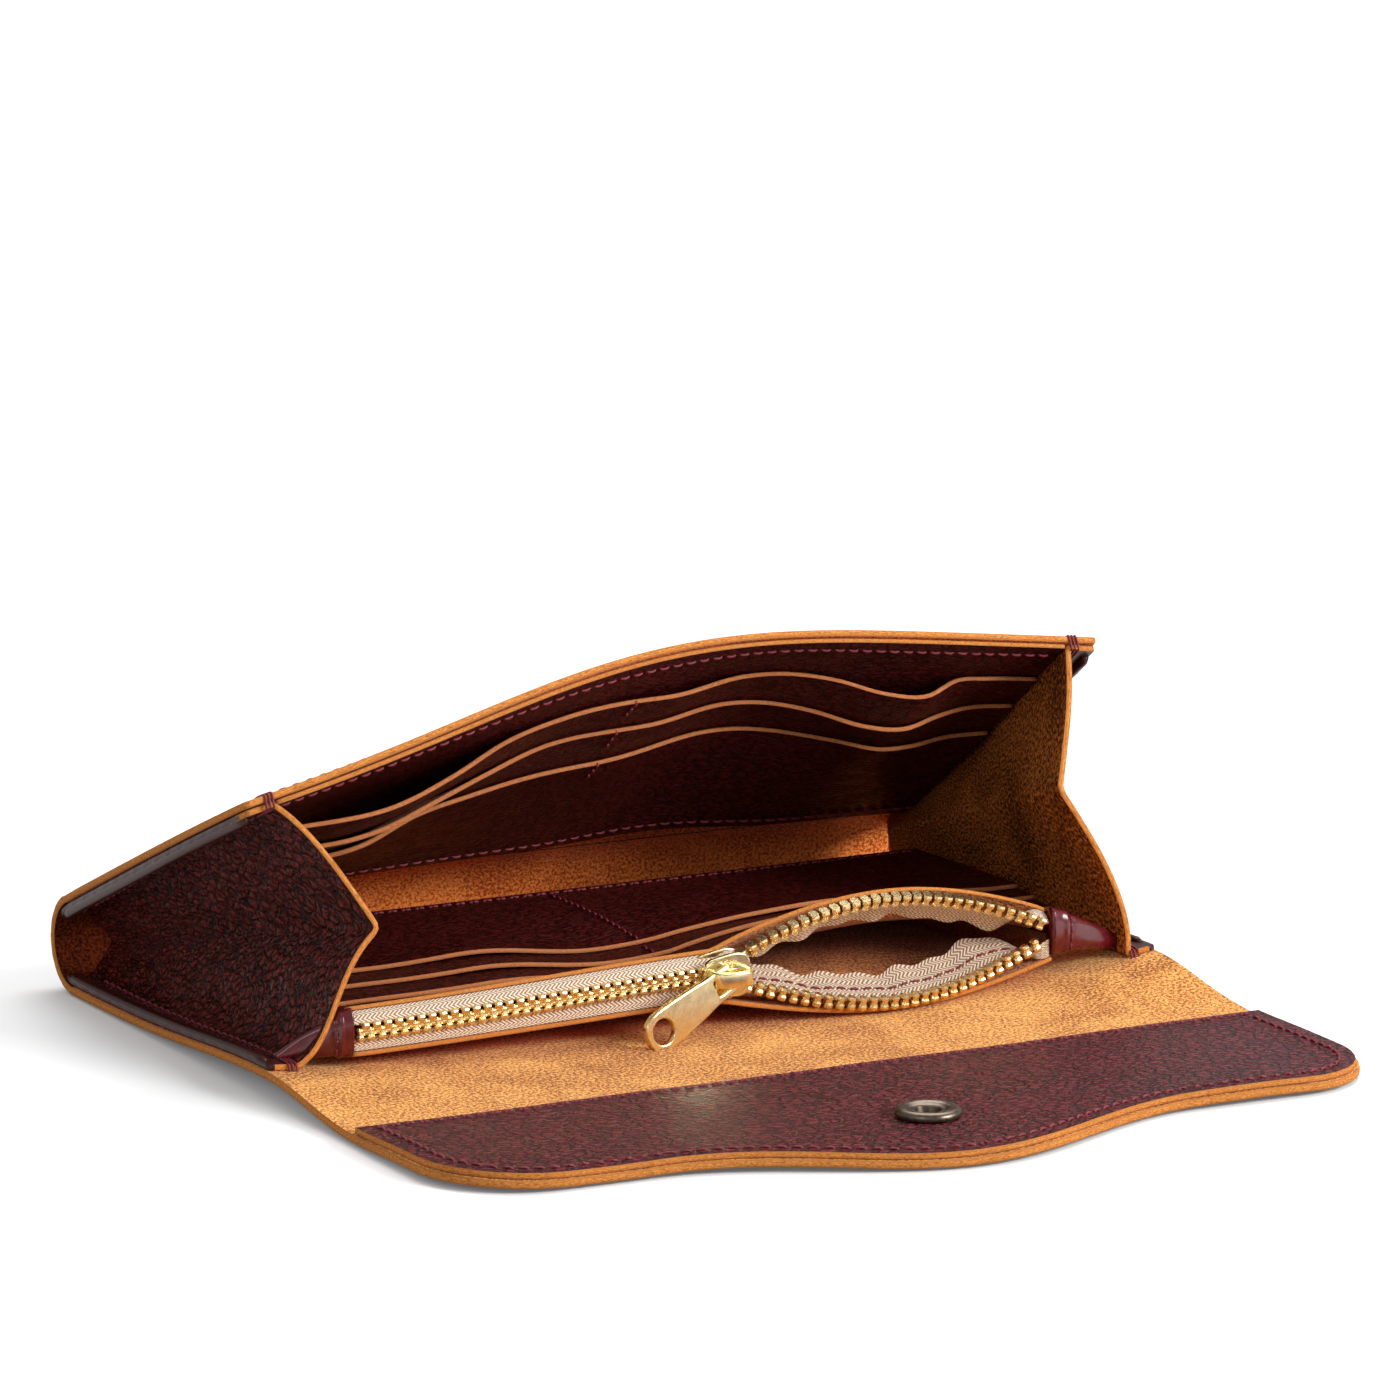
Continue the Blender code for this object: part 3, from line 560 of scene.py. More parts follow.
def plain(name, colour, roughness, metallic=0.0, speckle=0.0, scale=2.0, coat=0.0, specular=0.5):
    """One colour with slight unevenness in tone and polish."""
    material, tree, shader = new_shader(name)
    where = coordinates(tree)
    mottle = noise_of(tree, where, scale, 4.0, 0.6)
    dark = tuple(c * (1.0 - speckle) for c in colour)
    light = tuple(min(c * (1.0 + speckle), 1.0) for c in colour)
    tree.links.new(ramp(tree, mottle, ((0.3, dark), (0.7, light))), shader.inputs["Base Color"])
    tree.links.new(remap(tree, mottle, 0.3, 0.7, roughness * 0.85, roughness * 1.2), shader.inputs["Roughness"])
    bumpy(tree, shader, mottle, 0.12 if metallic else 0.3, 0.0001)
    shader.inputs["Metallic"].default_value = metallic
    shader.inputs["Coat Weight"].default_value = coat
    shader.inputs["Specular IOR Level"].default_value = specular
    shader.inputs["Coat Roughness"].default_value = 0.12
    return material


def herringbone(name):
    """Cream twill: slanted ribs that turn back every few millimetres."""
    material, tree, shader = new_shader(name)
    split = add_node(tree, "ShaderNodeSeparateXYZ")
    tree.links.new(coordinates(tree), split.inputs[0])
    folded = calc(tree, "PINGPONG", split.outputs["Y"], 1.15)
    slope = calc(tree, "ADD", split.outputs["X"], calc(tree, "MULTIPLY", folded, 1.1))
    rib = calc(tree, "SINE", calc(tree, "MULTIPLY", slope, 6.4), 0.0)
    weft = calc(tree, "SINE", calc(tree, "MULTIPLY", split.outputs["Y"], 16.0), 0.0)
    height = calc(tree, "ADD", rib, calc(tree, "MULTIPLY", weft, 0.25))
    tone = remap(tree, height, -1.0, 1.0)
    colour = ramp(tree, tone, ((0.05, (0.36, 0.19, 0.10)), (0.5, (0.76, 0.59, 0.43)), (0.95, (0.96, 0.83, 0.67))))
    tree.links.new(colour, shader.inputs["Base Color"])
    bumpy(tree, shader, height, 0.55, 0.00012)
    shader.inputs["Roughness"].default_value = 0.8
    shader.inputs["Specular IOR Level"].default_value = 0.25
    return material


OUTER = grain("outer_grain", (0.026, 0.0028, 0.0022), (0.135, 0.013, 0.011), 0.36, 0.75, 0.8, 0.22)
GUSSET_GRAIN = grain("gusset_grain", (0.007, 0.0007, 0.0005), (0.230, 0.024, 0.014), 0.27, 0.55, 1.0, 0.22,
                     relief=0.0016, pebble_tone_and_shade=0.75)
FACING = grain("facing_grain", (0.022, 0.0022, 0.0034), (0.235, 0.027, 0.034), 0.38, 0.62, 1.0, 0.24,
               (0.62, 1.25, 1.0), 0.0012, 0.65)
POCKET = grain("pocket_grain", (0.022, 0.0018, 0.0013), (0.125, 0.0105, 0.0080), 0.40, 0.7, 0.7, 0.13,
               (0.5, 1.2, 1.0))
BURNISHED = plain("burnished_edge", (0.050, 0.012, 0.008), 0.32, 0.0, 0.4, 1.2, 0.04, 0.22)
SUEDE = suede("suede", (0.21, 0.052, 0.008), (0.74, 0.262, 0.044), (1.0, 0.54, 0.145))
SUEDE_DEEP = suede("suede_inside", (0.34, 0.060, 0.010), (0.80, 0.185, 0.032), (1.0, 0.34, 0.075))
# A darker copy of the suede for the gussets' inner faces: painted shade.
SUEDE_SHADE = suede("suede_gusset_painted_shade", (0.040, 0.008, 0.001), (0.26, 0.066, 0.010), (0.66, 0.21, 0.040), 0.0)
# A much darker copy of the suede for the fold's ends inside the gussets: painted shade.
SUEDE_FOLD_END_SHADE = suede("suede_fold_end_painted_shade", (0.030, 0.0035, 0.0008), (0.115, 0.0165, 0.0032), (0.210, 0.036, 0.008), 0.0)
SUEDE_POUCH = suede("suede_pouch", (0.20, 0.050, 0.012), (0.52, 0.165, 0.042), (0.80, 0.32, 0.10))
EDGE = cut_edge("cut_edge", (0.32, 0.080, 0.011), (0.95, 0.37, 0.085))
EDGE_POCKET = cut_edge("pocket_edge", (0.38, 0.10, 0.032), (0.82, 0.31, 0.115))
THREAD = plain("thread", (0.20, 0.014, 0.024), 0.55, 0.0, 0.35, 3.0)
PATENT = plain("end_tab", (0.110, 0.004, 0.009), 0.24, 0.0, 0.35, 0.5, 0.3)
TAPE = herringbone("zip_tape")
BRASS = plain("zip_brass", (0.92, 0.73, 0.38), 0.25, 1.0, 0.08, 2.0)
GOLD = plain("slider_brass", (0.93, 0.79, 0.44), 0.20, 1.0, 0.05, 0.6)
ANTIQUE = plain("snap_metal", (0.16, 0.125, 0.095), 0.34, 1.0, 0.3, 0.8)


# ---------------------------------------------------------------- main leather

def place_main():
    across = spread(-W, W, 110)

    def low(x, y):
        return points(x * widen(y), y, T / 2.0 + lift(x, y) + wave(x, y))

    back = sheet("main_back", across, spread(5.0, FOLD_Y, 46), low, T, (SUEDE_DEEP, OUTER, EDGE),
                 ("v0", "v1"), lambda x, y: points(x, y), 0.3)
    on_back(back)
    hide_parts("back_panel")

    def fold(x, share):
        end = pi / 2.0 - OPEN - TWIST * x / W
        turn = -pi / 2.0 + (end + pi / 2.0) * share
        return points(x, FOLD_Y + RING * np.cos(turn), FOLD_R + RING * np.sin(turn))

    bend = sheet("main_fold", across, spread(0.0, 1.0, 26), fold, T, (SUEDE_DEEP, OUTER, EDGE),
                 ("v0", "v1"), lambda x, share: points(x, FOLD_Y + share * RING * 2.64), 0.3)
    # Beyond x = -83 mm and x = 95 mm the fold's inner suede takes the much darker copy: painted shade at the fold's
    # ends.
    bend.data.materials.append(SUEDE_FOLD_END_SHADE)
    for face in bend.data.polygons:
        if face.material_index == 0 and not -83.0 < face.center.x / MM < 95.0:
            face.material_index = 3
    own = PARAMETERS["main_fold"]
    shares = own[:, 1] ** 2 * (3.0 - 2.0 * own[:, 1]) * front_share(own[:, 0], 0.0 * own[:, 0])
    close_with(bend, shares)
    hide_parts("bottom_fold")

    def thinned(x, s):
        return front(x, s, FOLD_R - T / 2.0 + (T - PANEL) / 2.0 * smooth(s, 0.0, 8.0))

    panel = sheet("main_front", across, spread(0.0, L, 64), thinned, PANEL,
                  (SUEDE_DEEP, OUTER, EDGE), ("v0",), lambda x, s: points(x, FOLD_Y + RING * 2.64 + s), 0.3)
    on_front(panel)
    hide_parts("front_panel")

    root = sheet("main_root", across, spread(SPLIT_Y, 5.0, 26), low, T, (SUEDE, OUTER, EDGE),
                 ("v0", "v1"), lambda x, y: points(x, y), 0.3)
    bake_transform(root)
    return low


def flap_across():
    corner = [CORNER * sin(radians(turn)) for turn in (12, 24, 36, 46, 56, 65, 73, 80, 86, 90)]
    right = [W - CORNER + step for step in corner]
    return np.array([-x for x in reversed(right)] + list(spread(-W + CORNER, W - CORNER, 70)) + right)


def place_flap(low):
    across = flap_across()

    def outer(x, share):
        end = flap_end(x)
        y = end + (SPLIT_Y - end) * share
        return low(x, y)

    def outer_flow(x, share):
        return points(x, flap_end(x) + (SPLIT_Y - flap_end(x)) * share)

    flap = sheet("main_flap", across, spread(0.0, 1.0, 56), outer, T, (SUEDE, OUTER, EDGE), ("v1",), outer_flow, 0.3)
    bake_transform(flap)
    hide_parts("flap_spine", "flap_tip")

    def inner(x, share):
        end = flap_end(x) + 0.5
        y = end + (FACING_Y - end) * share
        flat = low(x * 0.994, y)
        return flat + points(0.0, 0.0, T / 2.0 + LAYER_GAP + GUSSET / 2.0)

    def inner_flow(x, share):
        return points(x, flap_end(x) + (FACING_Y - flap_end(x)) * share)

    facing = sheet("flap_lining", across, spread(0.0, 1.0, 44), inner, GUSSET, (FACING, SUEDE_DEEP, EDGE),
                   (), inner_flow, 0.3)
    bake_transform(facing)
    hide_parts("flap_facing")
    return inner


def flap_seams(inner):
    """The seam along the facing's inner edge and the one round the flap, on both faces."""
    across = spread(-W + 3.0, W - 3.0, 90)
    top = GUSSET / 2.0
    edge_line = inner(across, np.full_like(across, 1.0)) + np.array([0.0, -1.8, top])
    seam = stitches("seam_facing_edge", edge_line, (0.0, 0.0, 1.0), THREAD)
    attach(seam, "flap")
    inset = 3.4
    outline = outline_points(inset)
    for name, up, offset in (("inside", 1.0, top + T / 2.0 + 0.1 + GUSSET / 2.0), ("outside", -1.0, -T / 2.0)):
        line = np.array([[x, y, T / 2.0 + float(lift(x, y)) + float(wave(x, y)) + offset] for x, y in outline])
        seam = stitches("seam_flap_" + name, line, (0.0, 0.0, up), THREAD)
        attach(seam, "flap")


def outline_points(inset):
    """The flap's outline, moved in from the edge, from one end of the facing to the other."""
    xs = flap_across()
    edge = np.stack([xs * 0.996, flap_end(xs)], axis=1)
    tangent = unit(np.gradient(edge, axis=0))
    inward = np.stack([-tangent[:, 1], tangent[:, 0]], axis=1)
    line = edge + inward * inset
    left = [(-W * 0.996 + inset, y) for y in np.arange(FACING_Y - 2.0, line[0][1], -3.0)]
    right = [(W * 0.996 - inset, y) for y in np.arange(line[-1][1], FACING_Y - 2.0, 3.0)]
    return left + [tuple(point) for point in line] + right


# ---------------------------------------------------------------- gussets

GUSSETS = {
    # side, the crease from fold to mouth, then how each half's edge curves off the straight line at the mouth
    "left": (-1.0, (-92.2, 85.5, 11.4), (-74.0, 1.5, 29.8),
             ((2.2, -1.4, -4.4), (-5.4, -1.0, 0.6)), ((-1.0, 0.0, 4.6), (1.0, 0.0, 1.4))),
    "right": (1.0, (88.0, 85.5, 15.4), (80.5, 3.5, 41.5),
              ((5.8, -1.4, -2.0), (2.8, -1.0, -1.0)), ((1.4, 0.0, 0.8), (1.0, 0.0, 0.0))),
}
FLANGE = 8.0                           # from the fold's axis to the flange's middle surface
FLANGE_X = 99.6                        # the flange's outer edge, and below the middle of its turned rim
RIM_X = 98.7


def half_line(seam, crease, share, offsets, strength):
    """From a seam to the crease as a cubic curve whose middle points are pushed off the line."""
    first = seam + (crease - seam) / 3.0 + np.array(offsets[0]) * strength[..., None]
    second = seam + (crease - seam) * (2.0 / 3.0) + np.array(offsets[1]) * strength[..., None]
    t = share[..., None]
    return (1 - t) ** 3 * seam + 3 * (1 - t) ** 2 * t * first + 3 * (1 - t) * t**2 * second + t**3 * crease


ROUND_FOLD = 3.4                       # how far the gusset's flanges follow the fold's curve


def fold_ring(x, turn, h):
    return points(x, FOLD_Y + h * np.cos(turn), FOLD_R + h * np.sin(turn))


def flange_low(x, run):
    """On the back's inner face: run counts from the fold's start towards the mouth."""
    turn = -pi / 2.0 - np.minimum(run, 0.0) / FLANGE
    y = FOLD_Y - np.maximum(run, 0.0)
    curved = fold_ring(x, turn, FLANGE)
    flat = points(x, y, FOLD_R - FLANGE + lift(x, y))
    return np.where((run < 0.0)[..., None], curved, flat)


def flange_high(x, run):
    turn = pi / 2.0 - OPEN - TWIST * x / W + np.minimum(run, 0.0) / FLANGE
    return np.where((run < 0.0)[..., None], fold_ring(x, turn, FLANGE), front(x, np.maximum(run, 0.0), FLANGE))


def flange_run(along, reach):
    return -ROUND_FOLD + (reach + ROUND_FOLD) * along


LOW_REACH = L + 2.4                    # the gusset's lower half runs on past the end of the zip
HIGH_REACH = L - 0.6


def gusset_point(name, along, v):
    side, start, tip, low_offsets, high_offsets = GUSSETS[name]
    run = flange_run(along, LOW_REACH)
    low_edge = flange_low(side * FLANGE_X, run)
    low_seam = flange_low(side * SEAM_X, run)
    run = flange_run(along, HIGH_REACH)
    high_edge = flange_high(side * FLANGE_X, run)
    high_seam = flange_high(side * SEAM_X, run)
    crease = np.array(start) + (np.array(tip) - np.array(start)) * along[..., None]
    strength = along**1.3
    parts = [
        low_edge + (low_seam - low_edge) * v[..., None],
        half_line(low_seam, crease, v - 1.0, low_offsets, strength),
        half_line(high_seam, crease, 3.0 - v, high_offsets, strength),
        high_seam + (high_edge - high_seam) * (v - 3.0)[..., None],
    ]
    pick = np.clip(np.floor(v), 0, 3)[..., None]
    return sum(np.where(pick == k, part, 0.0) for k, part in enumerate(parts))


def fold_shares(x, run):
    """Shares of the front's turn at the two flanges, which ride the fold's curve at their far ends."""
    half = pi - OPEN - TWIST * x / W
    back = np.clip(-run, 0.0, None) / FLANGE
    low = back / half
    high = 1.0 - back / half
    turn = front_share(x, np.maximum(run, 0.0))
    return low * low * (3.0 - 2.0 * low) * turn, high * high * (3.0 - 2.0 * high) * turn


def gusset_surface(name):
    """The gusset's middle surface, with the turns at its seams and crease rounded off."""
    def middle(along, v):
        total = 0.0
        for step in (-1.0, -0.5, 0.0, 0.5, 1.0):
            total = total + gusset_point(name, along, np.clip(v + 0.035 * step, 0.0, 4.0))
        pucker = 0.22 * np.sin(along * 31.0 + v) * np.sin(v * 5.0) * np.sin(pi * np.clip((v - 1.0) / 2.0, 0.0, 1.0))
        return total / 5.0 + points(pucker, 0.0, 0.3 * pucker)
    return middle


def place_gusset(name):
    side = GUSSETS[name][0]
    knots = [0.0, 0.2, 0.4, 0.55, 0.62, 0.8, 0.92, 0.97, 1.0, 1.03, 1.07]
    lower = knots + list(np.linspace(1.12, 1.9, 22)) + [1.94, 1.97]
    rows = np.array(lower + [2.0] + [4.0 - v for v in reversed(lower)])
    columns = spread(0.0, 1.0, 64)
    # Each gusset's suede face takes the darker copy of the suede: painted shade.
    skins = (GUSSET_GRAIN, SUEDE_SHADE, EDGE, BURNISHED) if side < 0 else (SUEDE_SHADE, GUSSET_GRAIN, EDGE, BURNISHED)
    item = sheet("gusset_" + name, columns, rows, gusset_surface(name), GUSSET, skins, (), None, 0.8)
    across = len(rows) - 1
    count = (len(columns) - 1) * across
    shift = 0 if side < 0 else count
    for k in range(count):
        j = k % across
        if min(rows[j], 4.0 - rows[j + 1]) < 0.5:
            item.data.polygons[shift + k].material_index = 3
    outer_rim = side * 98.0
    for face in item.data.polygons:
        if face.material_index == 2 and face.center.x / MM * side > outer_rim * side:
            face.material_index = 3
    own = PARAMETERS["gusset_" + name]
    turn = np.clip((own[:, 1] - 1.0) / 2.0, 0.0, 1.0)
    x = side * np.interp(own[:, 1], (0, 1, 2, 3, 4), (FLANGE_X, SEAM_X, 88.0, SEAM_X, FLANGE_X))
    low, high = fold_shares(x, flange_run(own[:, 0], HIGH_REACH))
    close_with(item, low + (high - low) * turn)
    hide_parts(*(f"gusset_{name}_{part}" for part in ("lower", "upper", "flange_lower", "flange_upper")))


def gusset_rims(name):
    """The flanges' turned edges: a rounded, polished roll of leather along each."""
    side = GUSSETS[name][0]
    around = 14
    rows = 60
    for part, flange, half_high, inward, reach in (("low", flange_low, 0.95, 0.45, LOW_REACH - 3.6),
                                                   ("high", flange_high, 1.3, 0.75, HIGH_REACH - 2.6)):
        verts = []
        runs = []
        for i in range(rows + 1):
            t = i / rows
            run = np.array(-ROUND_FOLD + 0.4 + (reach + ROUND_FOLD - 0.4) * t)
            middle = flange(np.array(side * RIM_X), run)
            across = unit(flange(np.array(side * 99.7), run) - middle)
            ahead = unit(flange(np.array(side * RIM_X), run + 0.5) - flange(np.array(side * RIM_X), run - 0.5))
            up = np.cross(across, ahead)
            up = up if up[2] > 0 else -up
            up = up if part == "low" else -up
            close = min(1.0, (t * rows + 0.35) / 1.6, ((1.0 - t) * rows + 0.35) / 1.6)
            close = sqrt(1.0 - (1.0 - close) ** 2)
            for k in range(around):
                turn = 2.0 * pi * k / around
                rounding = 1.0 + 0.03 * sin(11.0 * t + k)
                verts.append(middle + across * (1.05 * close * cos(turn) * rounding)
                             + up * (inward + half_high * close * sin(turn) * rounding))
                runs.append(float(run))
        item = make_mesh(f"rim_{name}_{part}", verts, ring_faces(rows + 1, around), [BURNISHED])
        low, high = fold_shares(np.full(len(runs), side * RIM_X), np.array(runs))
        close_with(item, low if part == "low" else high)


def gusset_seams(name):
    side = GUSSETS[name][0]
    x = side * (SEAM_X + 0.9)
    y = spread(86.0, 0.5, 60)
    high = T + 0.1 + GUSSET
    line = points(x + 0.0 * y, y, high + lift(x, y))
    on_back(stitches(f"seam_{name}_back", line, (0.0, 0.0, 1.0), THREAD, 3.0, 0.28))
    s = spread(2.0, L - 4.0, 60)
    under = front(x + 0.0 * s, s, FLANGE - GUSSET / 2.0)
    inward = front(x + 0.0 * s, s, 0.0) - front(x + 0.0 * s, s, 1.0)
    on_front(stitches(f"seam_{name}_front_inside", under, inward, THREAD, 3.0, 0.28))
    over = front(x + 0.0 * s, s, FOLD_R)
    on_front(stitches(f"seam_{name}_front_outside", over, -inward, THREAD, 3.0, 0.28))


def tack(name, loops):
    paths = [resample(loop, 0.35) for loop in loops]
    verts, faces = tube_mesh(paths, [np.full(len(path), TACK_RADIUS) for path in paths])
    return make_mesh(name, verts, faces, [THREAD])


def bar_tacks(name):
    """Three turns of thread over the leather's edge at each end of a gusset's mouth."""
    side = GUSSETS[name][0]
    low = []
    high = []
    for k in range(3):
        x = side * (SEAM_X + 0.4 + 0.8 * k)
        base = float(lift(x, 0.0)) + T
        low.append([(x, 1.6, base + 1.1), (x, 0.8, base + 1.55), (x, -1.6, base + 1.55),
                    (x, -2.8, base + 1.3), (x, -3.2, base + 0.4), (x, -3.4, base - 0.3)])
        loop = [(L - 3.6, 7.2), (L - 3.0, 7.15), (L - 1.2, 7.15), (L + 0.3, 7.4), (L + 0.42, 8.4),
                (L + 0.42, 9.6), (L + 0.2, 10.4), (L - 1.2, 10.5), (L - 3.0, 10.5), (L - 3.8, 10.1)]
        high.append([front(np.array(x), np.array(s), h) for s, h in loop])
    on_back(tack(f"tack_{name}_low", low))
    on_front(tack(f"tack_{name}_high", high))


# ---------------------------------------------------------------- card slots

LINING_H = RING - T / 2.0 - 0.1 - THIN / 2.0
STACK_HALF = 92.6
LOWER_LEFT = -84.2
LOWER_RIGHT = 86.8
CENTRE_SEAM = -2.0
SAG_X = (-93.0, -81.0, -60.0, -46.0, -33.0, -20.0, -2.0, 8.0, 25.0, 36.0, 46.0, 56.0, 66.0, 74.0, 81.0, 93.0)
SAG = (                                # how far each slot's edge hangs open, at those places along it
    (1.8, 3.8, 6.0, 4.2, 1.4, 0.5, 0.8, 1.6, 0.3, 0.3, 1.3, 3.6, 4.0, 0.5, 0.1, 0.1),
    (1.5, 4.6, 6.5, 4.4, 2.2, 0.2, 0.4, 1.1, 0.3, 0.7, 2.0, 4.3, 4.8, 2.2, 0.5, 0.0),
    (1.3, 3.6, 5.0, 2.1, 1.3, 0.7, 0.7, 0.7, 0.1, 0.0, 0.3, 1.2, 3.0, 2.4, 0.9, 0.0),
)


def through(x, knots, values):
    """A smooth curve through the values at the knots."""
    knots = np.asarray(knots)
    values = np.asarray(values)
    slopes = np.gradient(values, knots)
    k = np.clip(np.searchsorted(knots, x) - 1, 0, len(knots) - 2)
    width = knots[k + 1] - knots[k]
    t = np.clip((x - knots[k]) / width, 0.0, 1.0)
    return (values[k] * (1 + 2 * t) * (1 - t) ** 2 + slopes[k] * width * t * (1 - t) ** 2
            + values[k + 1] * t * t * (3 - 2 * t) + slopes[k + 1] * width * t * t * (t - 1))


def slot_end(tier):
    return L - 14.0 - 11.0 * (tier - 1)


def slack(x, s, tier):
    """How far a pocket stands off the panel: its own slot's sag on top of what the next pocket down allows."""
    own = through(x, SAG_X, SAG[tier - 1])
    if tier == TIERS:
        bottom = slot_end(tier) - 41.0
        return own * np.clip((s - bottom) / 41.0, 0.0, 1.0) ** 1.7
    below = slot_end(tier + 1)
    share = np.clip((s - below) / (slot_end(tier) - below), 0.0, 1.0) ** 1.3
    return own * share + 0.94 * slack(x, np.minimum(s, below), tier + 1) * (1.0 - share)


def upper_height(tier):
    return LINING_H - PITCH * tier


def place_upper_cards():
    columns = spread(-STACK_HALF, STACK_HALF, 100)
    skins = (POCKET, SUEDE_DEEP, EDGE_POCKET)
    lining = sheet("cards_upper_lining", columns, spread(7.0, L - 0.3, 50),
                   lambda x, s: front(x, s, LINING_H), THIN, (POCKET, SUEDE_DEEP, EDGE), (), None, 0.3)
    on_front(lining)
    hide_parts("card_lining_upper")
    for tier in range(1, TIERS + 1):
        top = slot_end(tier)
        bottom = 28.0 - 8.0 * (tier - 1)
        reach = 1.0 - 0.012 * tier

        def pocket(x, share, tier=tier, top=top, bottom=bottom, reach=reach):
            s = bottom + (top - bottom) * share
            return front(x * reach, s, upper_height(tier) - slack(x, s, tier))

        item = sheet(f"cards_upper_{tier}", columns, spread(0.0, 1.0, 36), pocket, THIN, skins, (), None, 0.5)
        on_front(item)
        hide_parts(f"card_pocket_upper_{tier}")


def upper_inward(x, s):
    return front(x, s, 0.0) - front(x, s, 1.0)


def upper_card_seams():
    x = spread(-STACK_HALF + 2.0, STACK_HALF - 2.0, 90)
    s = np.full_like(x, L - 3.9)
    inner = front(x, s, LINING_H - THIN / 2.0)
    on_front(stitches("seam_lip_inside", inner, upper_inward(x, s), THREAD, 3.1, 0.3))
    outer = front(x, s, FOLD_R)
    on_front(stitches("seam_lip_outside", outer, -upper_inward(x, s), THREAD, 3.1, 0.3))
    s = np.full_like(x, 14.6)
    low = front(x, s, upper_height(3) - THIN / 2.0)
    on_front(stitches("seam_cards_upper_end", low, upper_inward(x, s), THREAD, 3.1, 0.3))
    lines = []
    for tier, start, end in ((1, 68.5, 75.6), (2, 57.5, 64.6), (3, 46.5, 53.6)):
        s = spread(start, end, 20)
        x = np.full_like(s, CENTRE_SEAM)
        height = upper_height(tier) - THIN / 2.0 - slack(x, s, tier)
        lines.append((front(x, s, height), upper_inward(x, s)))
    for k, (line, inward) in enumerate(lines):
        on_front(stitches(f"seam_cards_upper_centre_{k}", line, inward, THREAD, 2.6, 0.3))


LOWER_FIRST = 11.0


def lower_dip(x, y):
    """The empty pouch lets the slots sink, most beside their centre seam."""
    dip = 2.6 * bump(x, -10.0, 34.0) + 0.8 * bump(x, 26.0, 26.0) - 0.7 * bump(x, -72.0, 30.0)
    return dip * np.exp(-(((y - 22.0) / 20.0) ** 2))


def lower_layer(x, y, height):
    return points(x + zip_shift(x) * np.exp(-y / 25.0), y, height + lower_rise(x, y) - lower_dip(x, y))


def lower_height(tier):
    return LOWER_FIRST + 1.05 * tier


def lower_slot(tier):
    return 5.5 + 7.5 * tier


def place_lower_cards():
    columns = spread(LOWER_LEFT, LOWER_RIGHT, 100)
    layers = [("cards_lower_lining", "card_lining_lower", 0, 7.0, 73.0, EDGE)]
    layers += [(f"cards_lower_{k}", f"card_pocket_lower_{k}", k, lower_slot(k), 48.0 + 8.0 * k, EDGE_POCKET)
               for k in range(1, TIERS + 1)]
    for name, node, tier, start, end, edge in layers:
        def layer(x, y, tier=tier, start=start):
            ripple = 0.3 * tier * (bump(x, -38.0, 26.0) + 0.8 * bump(x, 34.0, 24.0))
            ripple = ripple * np.exp(-(((y - start) / 14.0) ** 2)) if tier else 0.0 * x
            return lower_layer(x, y, lower_height(tier) + ripple)

        item = sheet(name, columns, spread(start, end, 34), layer, THIN, (POCKET, SUEDE_DEEP, edge), (), None, 0.5)
        flatten(item)
        on_back(item)
        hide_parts(node)
    x = spread(LOWER_LEFT + 2.0, LOWER_RIGHT - 2.0, 80)
    line = lower_layer(x, np.full_like(x, 69.8), lower_height(3) + THIN / 2.0)
    on_back(stitches("seam_cards_lower_end", line, (0.0, 0.0, 1.0), THREAD, 3.1, 0.3))
    for tier, start, end in ((1, 13.5, 19.5), (2, 21.0, 27.0), (3, 28.5, 68.5)):
        y = spread(start, end, 20)
        x = np.full_like(y, CENTRE_SEAM)
        line = lower_layer(x, y, lower_height(tier) + THIN / 2.0)
        seam = stitches(f"seam_cards_lower_centre_{tier}", line, (0.0, 0.0, 1.0), THREAD, 2.6, 0.26)
        flatten(seam)
        on_back(seam)


def flatten(item):
    """Gives a piece that the open zip holds up a mesh of its own."""
    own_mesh(item)


# ---------------------------------------------------------------- pouch and zip

def wall_edge_y(x, side):
    if side < 0:
        return -2.6 - 3.6 * lens(x) ** 2
    return 0.8 - 0.4 * lens(x) ** 2


def place_pouch():
    columns = spread(-ZIP_HALF, ZIP_HALF, 100)
    for name, node, side, shape, skins in (
        ("pouch_low", "pouch_wall_lower", -1, wall_low, (SUEDE_POUCH, SUEDE_DEEP, EDGE)),
        ("pouch_top", "pouch_wall_upper", 1, wall_top, (POCKET, SUEDE_POUCH, EDGE)),
    ):
        def wall(x, share, side=side, shape=shape):
            start = wall_edge_y(x, side)
            y = start + (76.0 - start) * share**1.6
            return points(x + zip_shift(x) * np.exp(-np.maximum(y, 0.0) / 25.0), y, shape(x, np.maximum(y, 0.0)))

        item = sheet(name, columns, spread(0.0, 1.0, 40), wall, THIN, skins, (), None, 0.4)
        if side > 0:
            flatten(item)
        on_back(item)
        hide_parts(node)


def tape_surface(side):
    """From the teeth outwards to the pouch's edge; in the open part it turns inwards instead."""
    def middle(x, share):
        teeth = zip_path(x, side)
        root = teeth + points(0.0, 0.25, side * 1.35)
        ripple = 0.4 * np.sin(x * 0.72) + 0.35 * np.sin(x * 0.41 + 1.0)
        if side > 0:
            closed = points(x + zip_shift(x), 0.4, wall_top(x, 0.8) - 0.7)
            opened = teeth + points(0.0, 6.0 + ripple, -4.3 + 0.8 * ripple)
            root_open = teeth + points(0.0, 0.7, -0.6)
        else:
            closed = points(x + zip_shift(x), -2.3, wall_low(x, 0.0) + 0.65)
            opened = teeth + points(0.0, 10.5 + ripple, 2.9 + 0.9 * ripple)
            root_open = teeth + points(0.0, 0.5, -0.1)
        turned = smooth(lens(x), 0.1, 0.55)[..., None]
        start = root * (1 - turned) + root_open * turned
        end = closed * (1 - turned) + opened * turned
        sag = np.sin(pi * share)[..., None] * points(0.0, 0.0, 0.35 * side)
        return start + (end - start) * share[..., None] + sag
    return middle


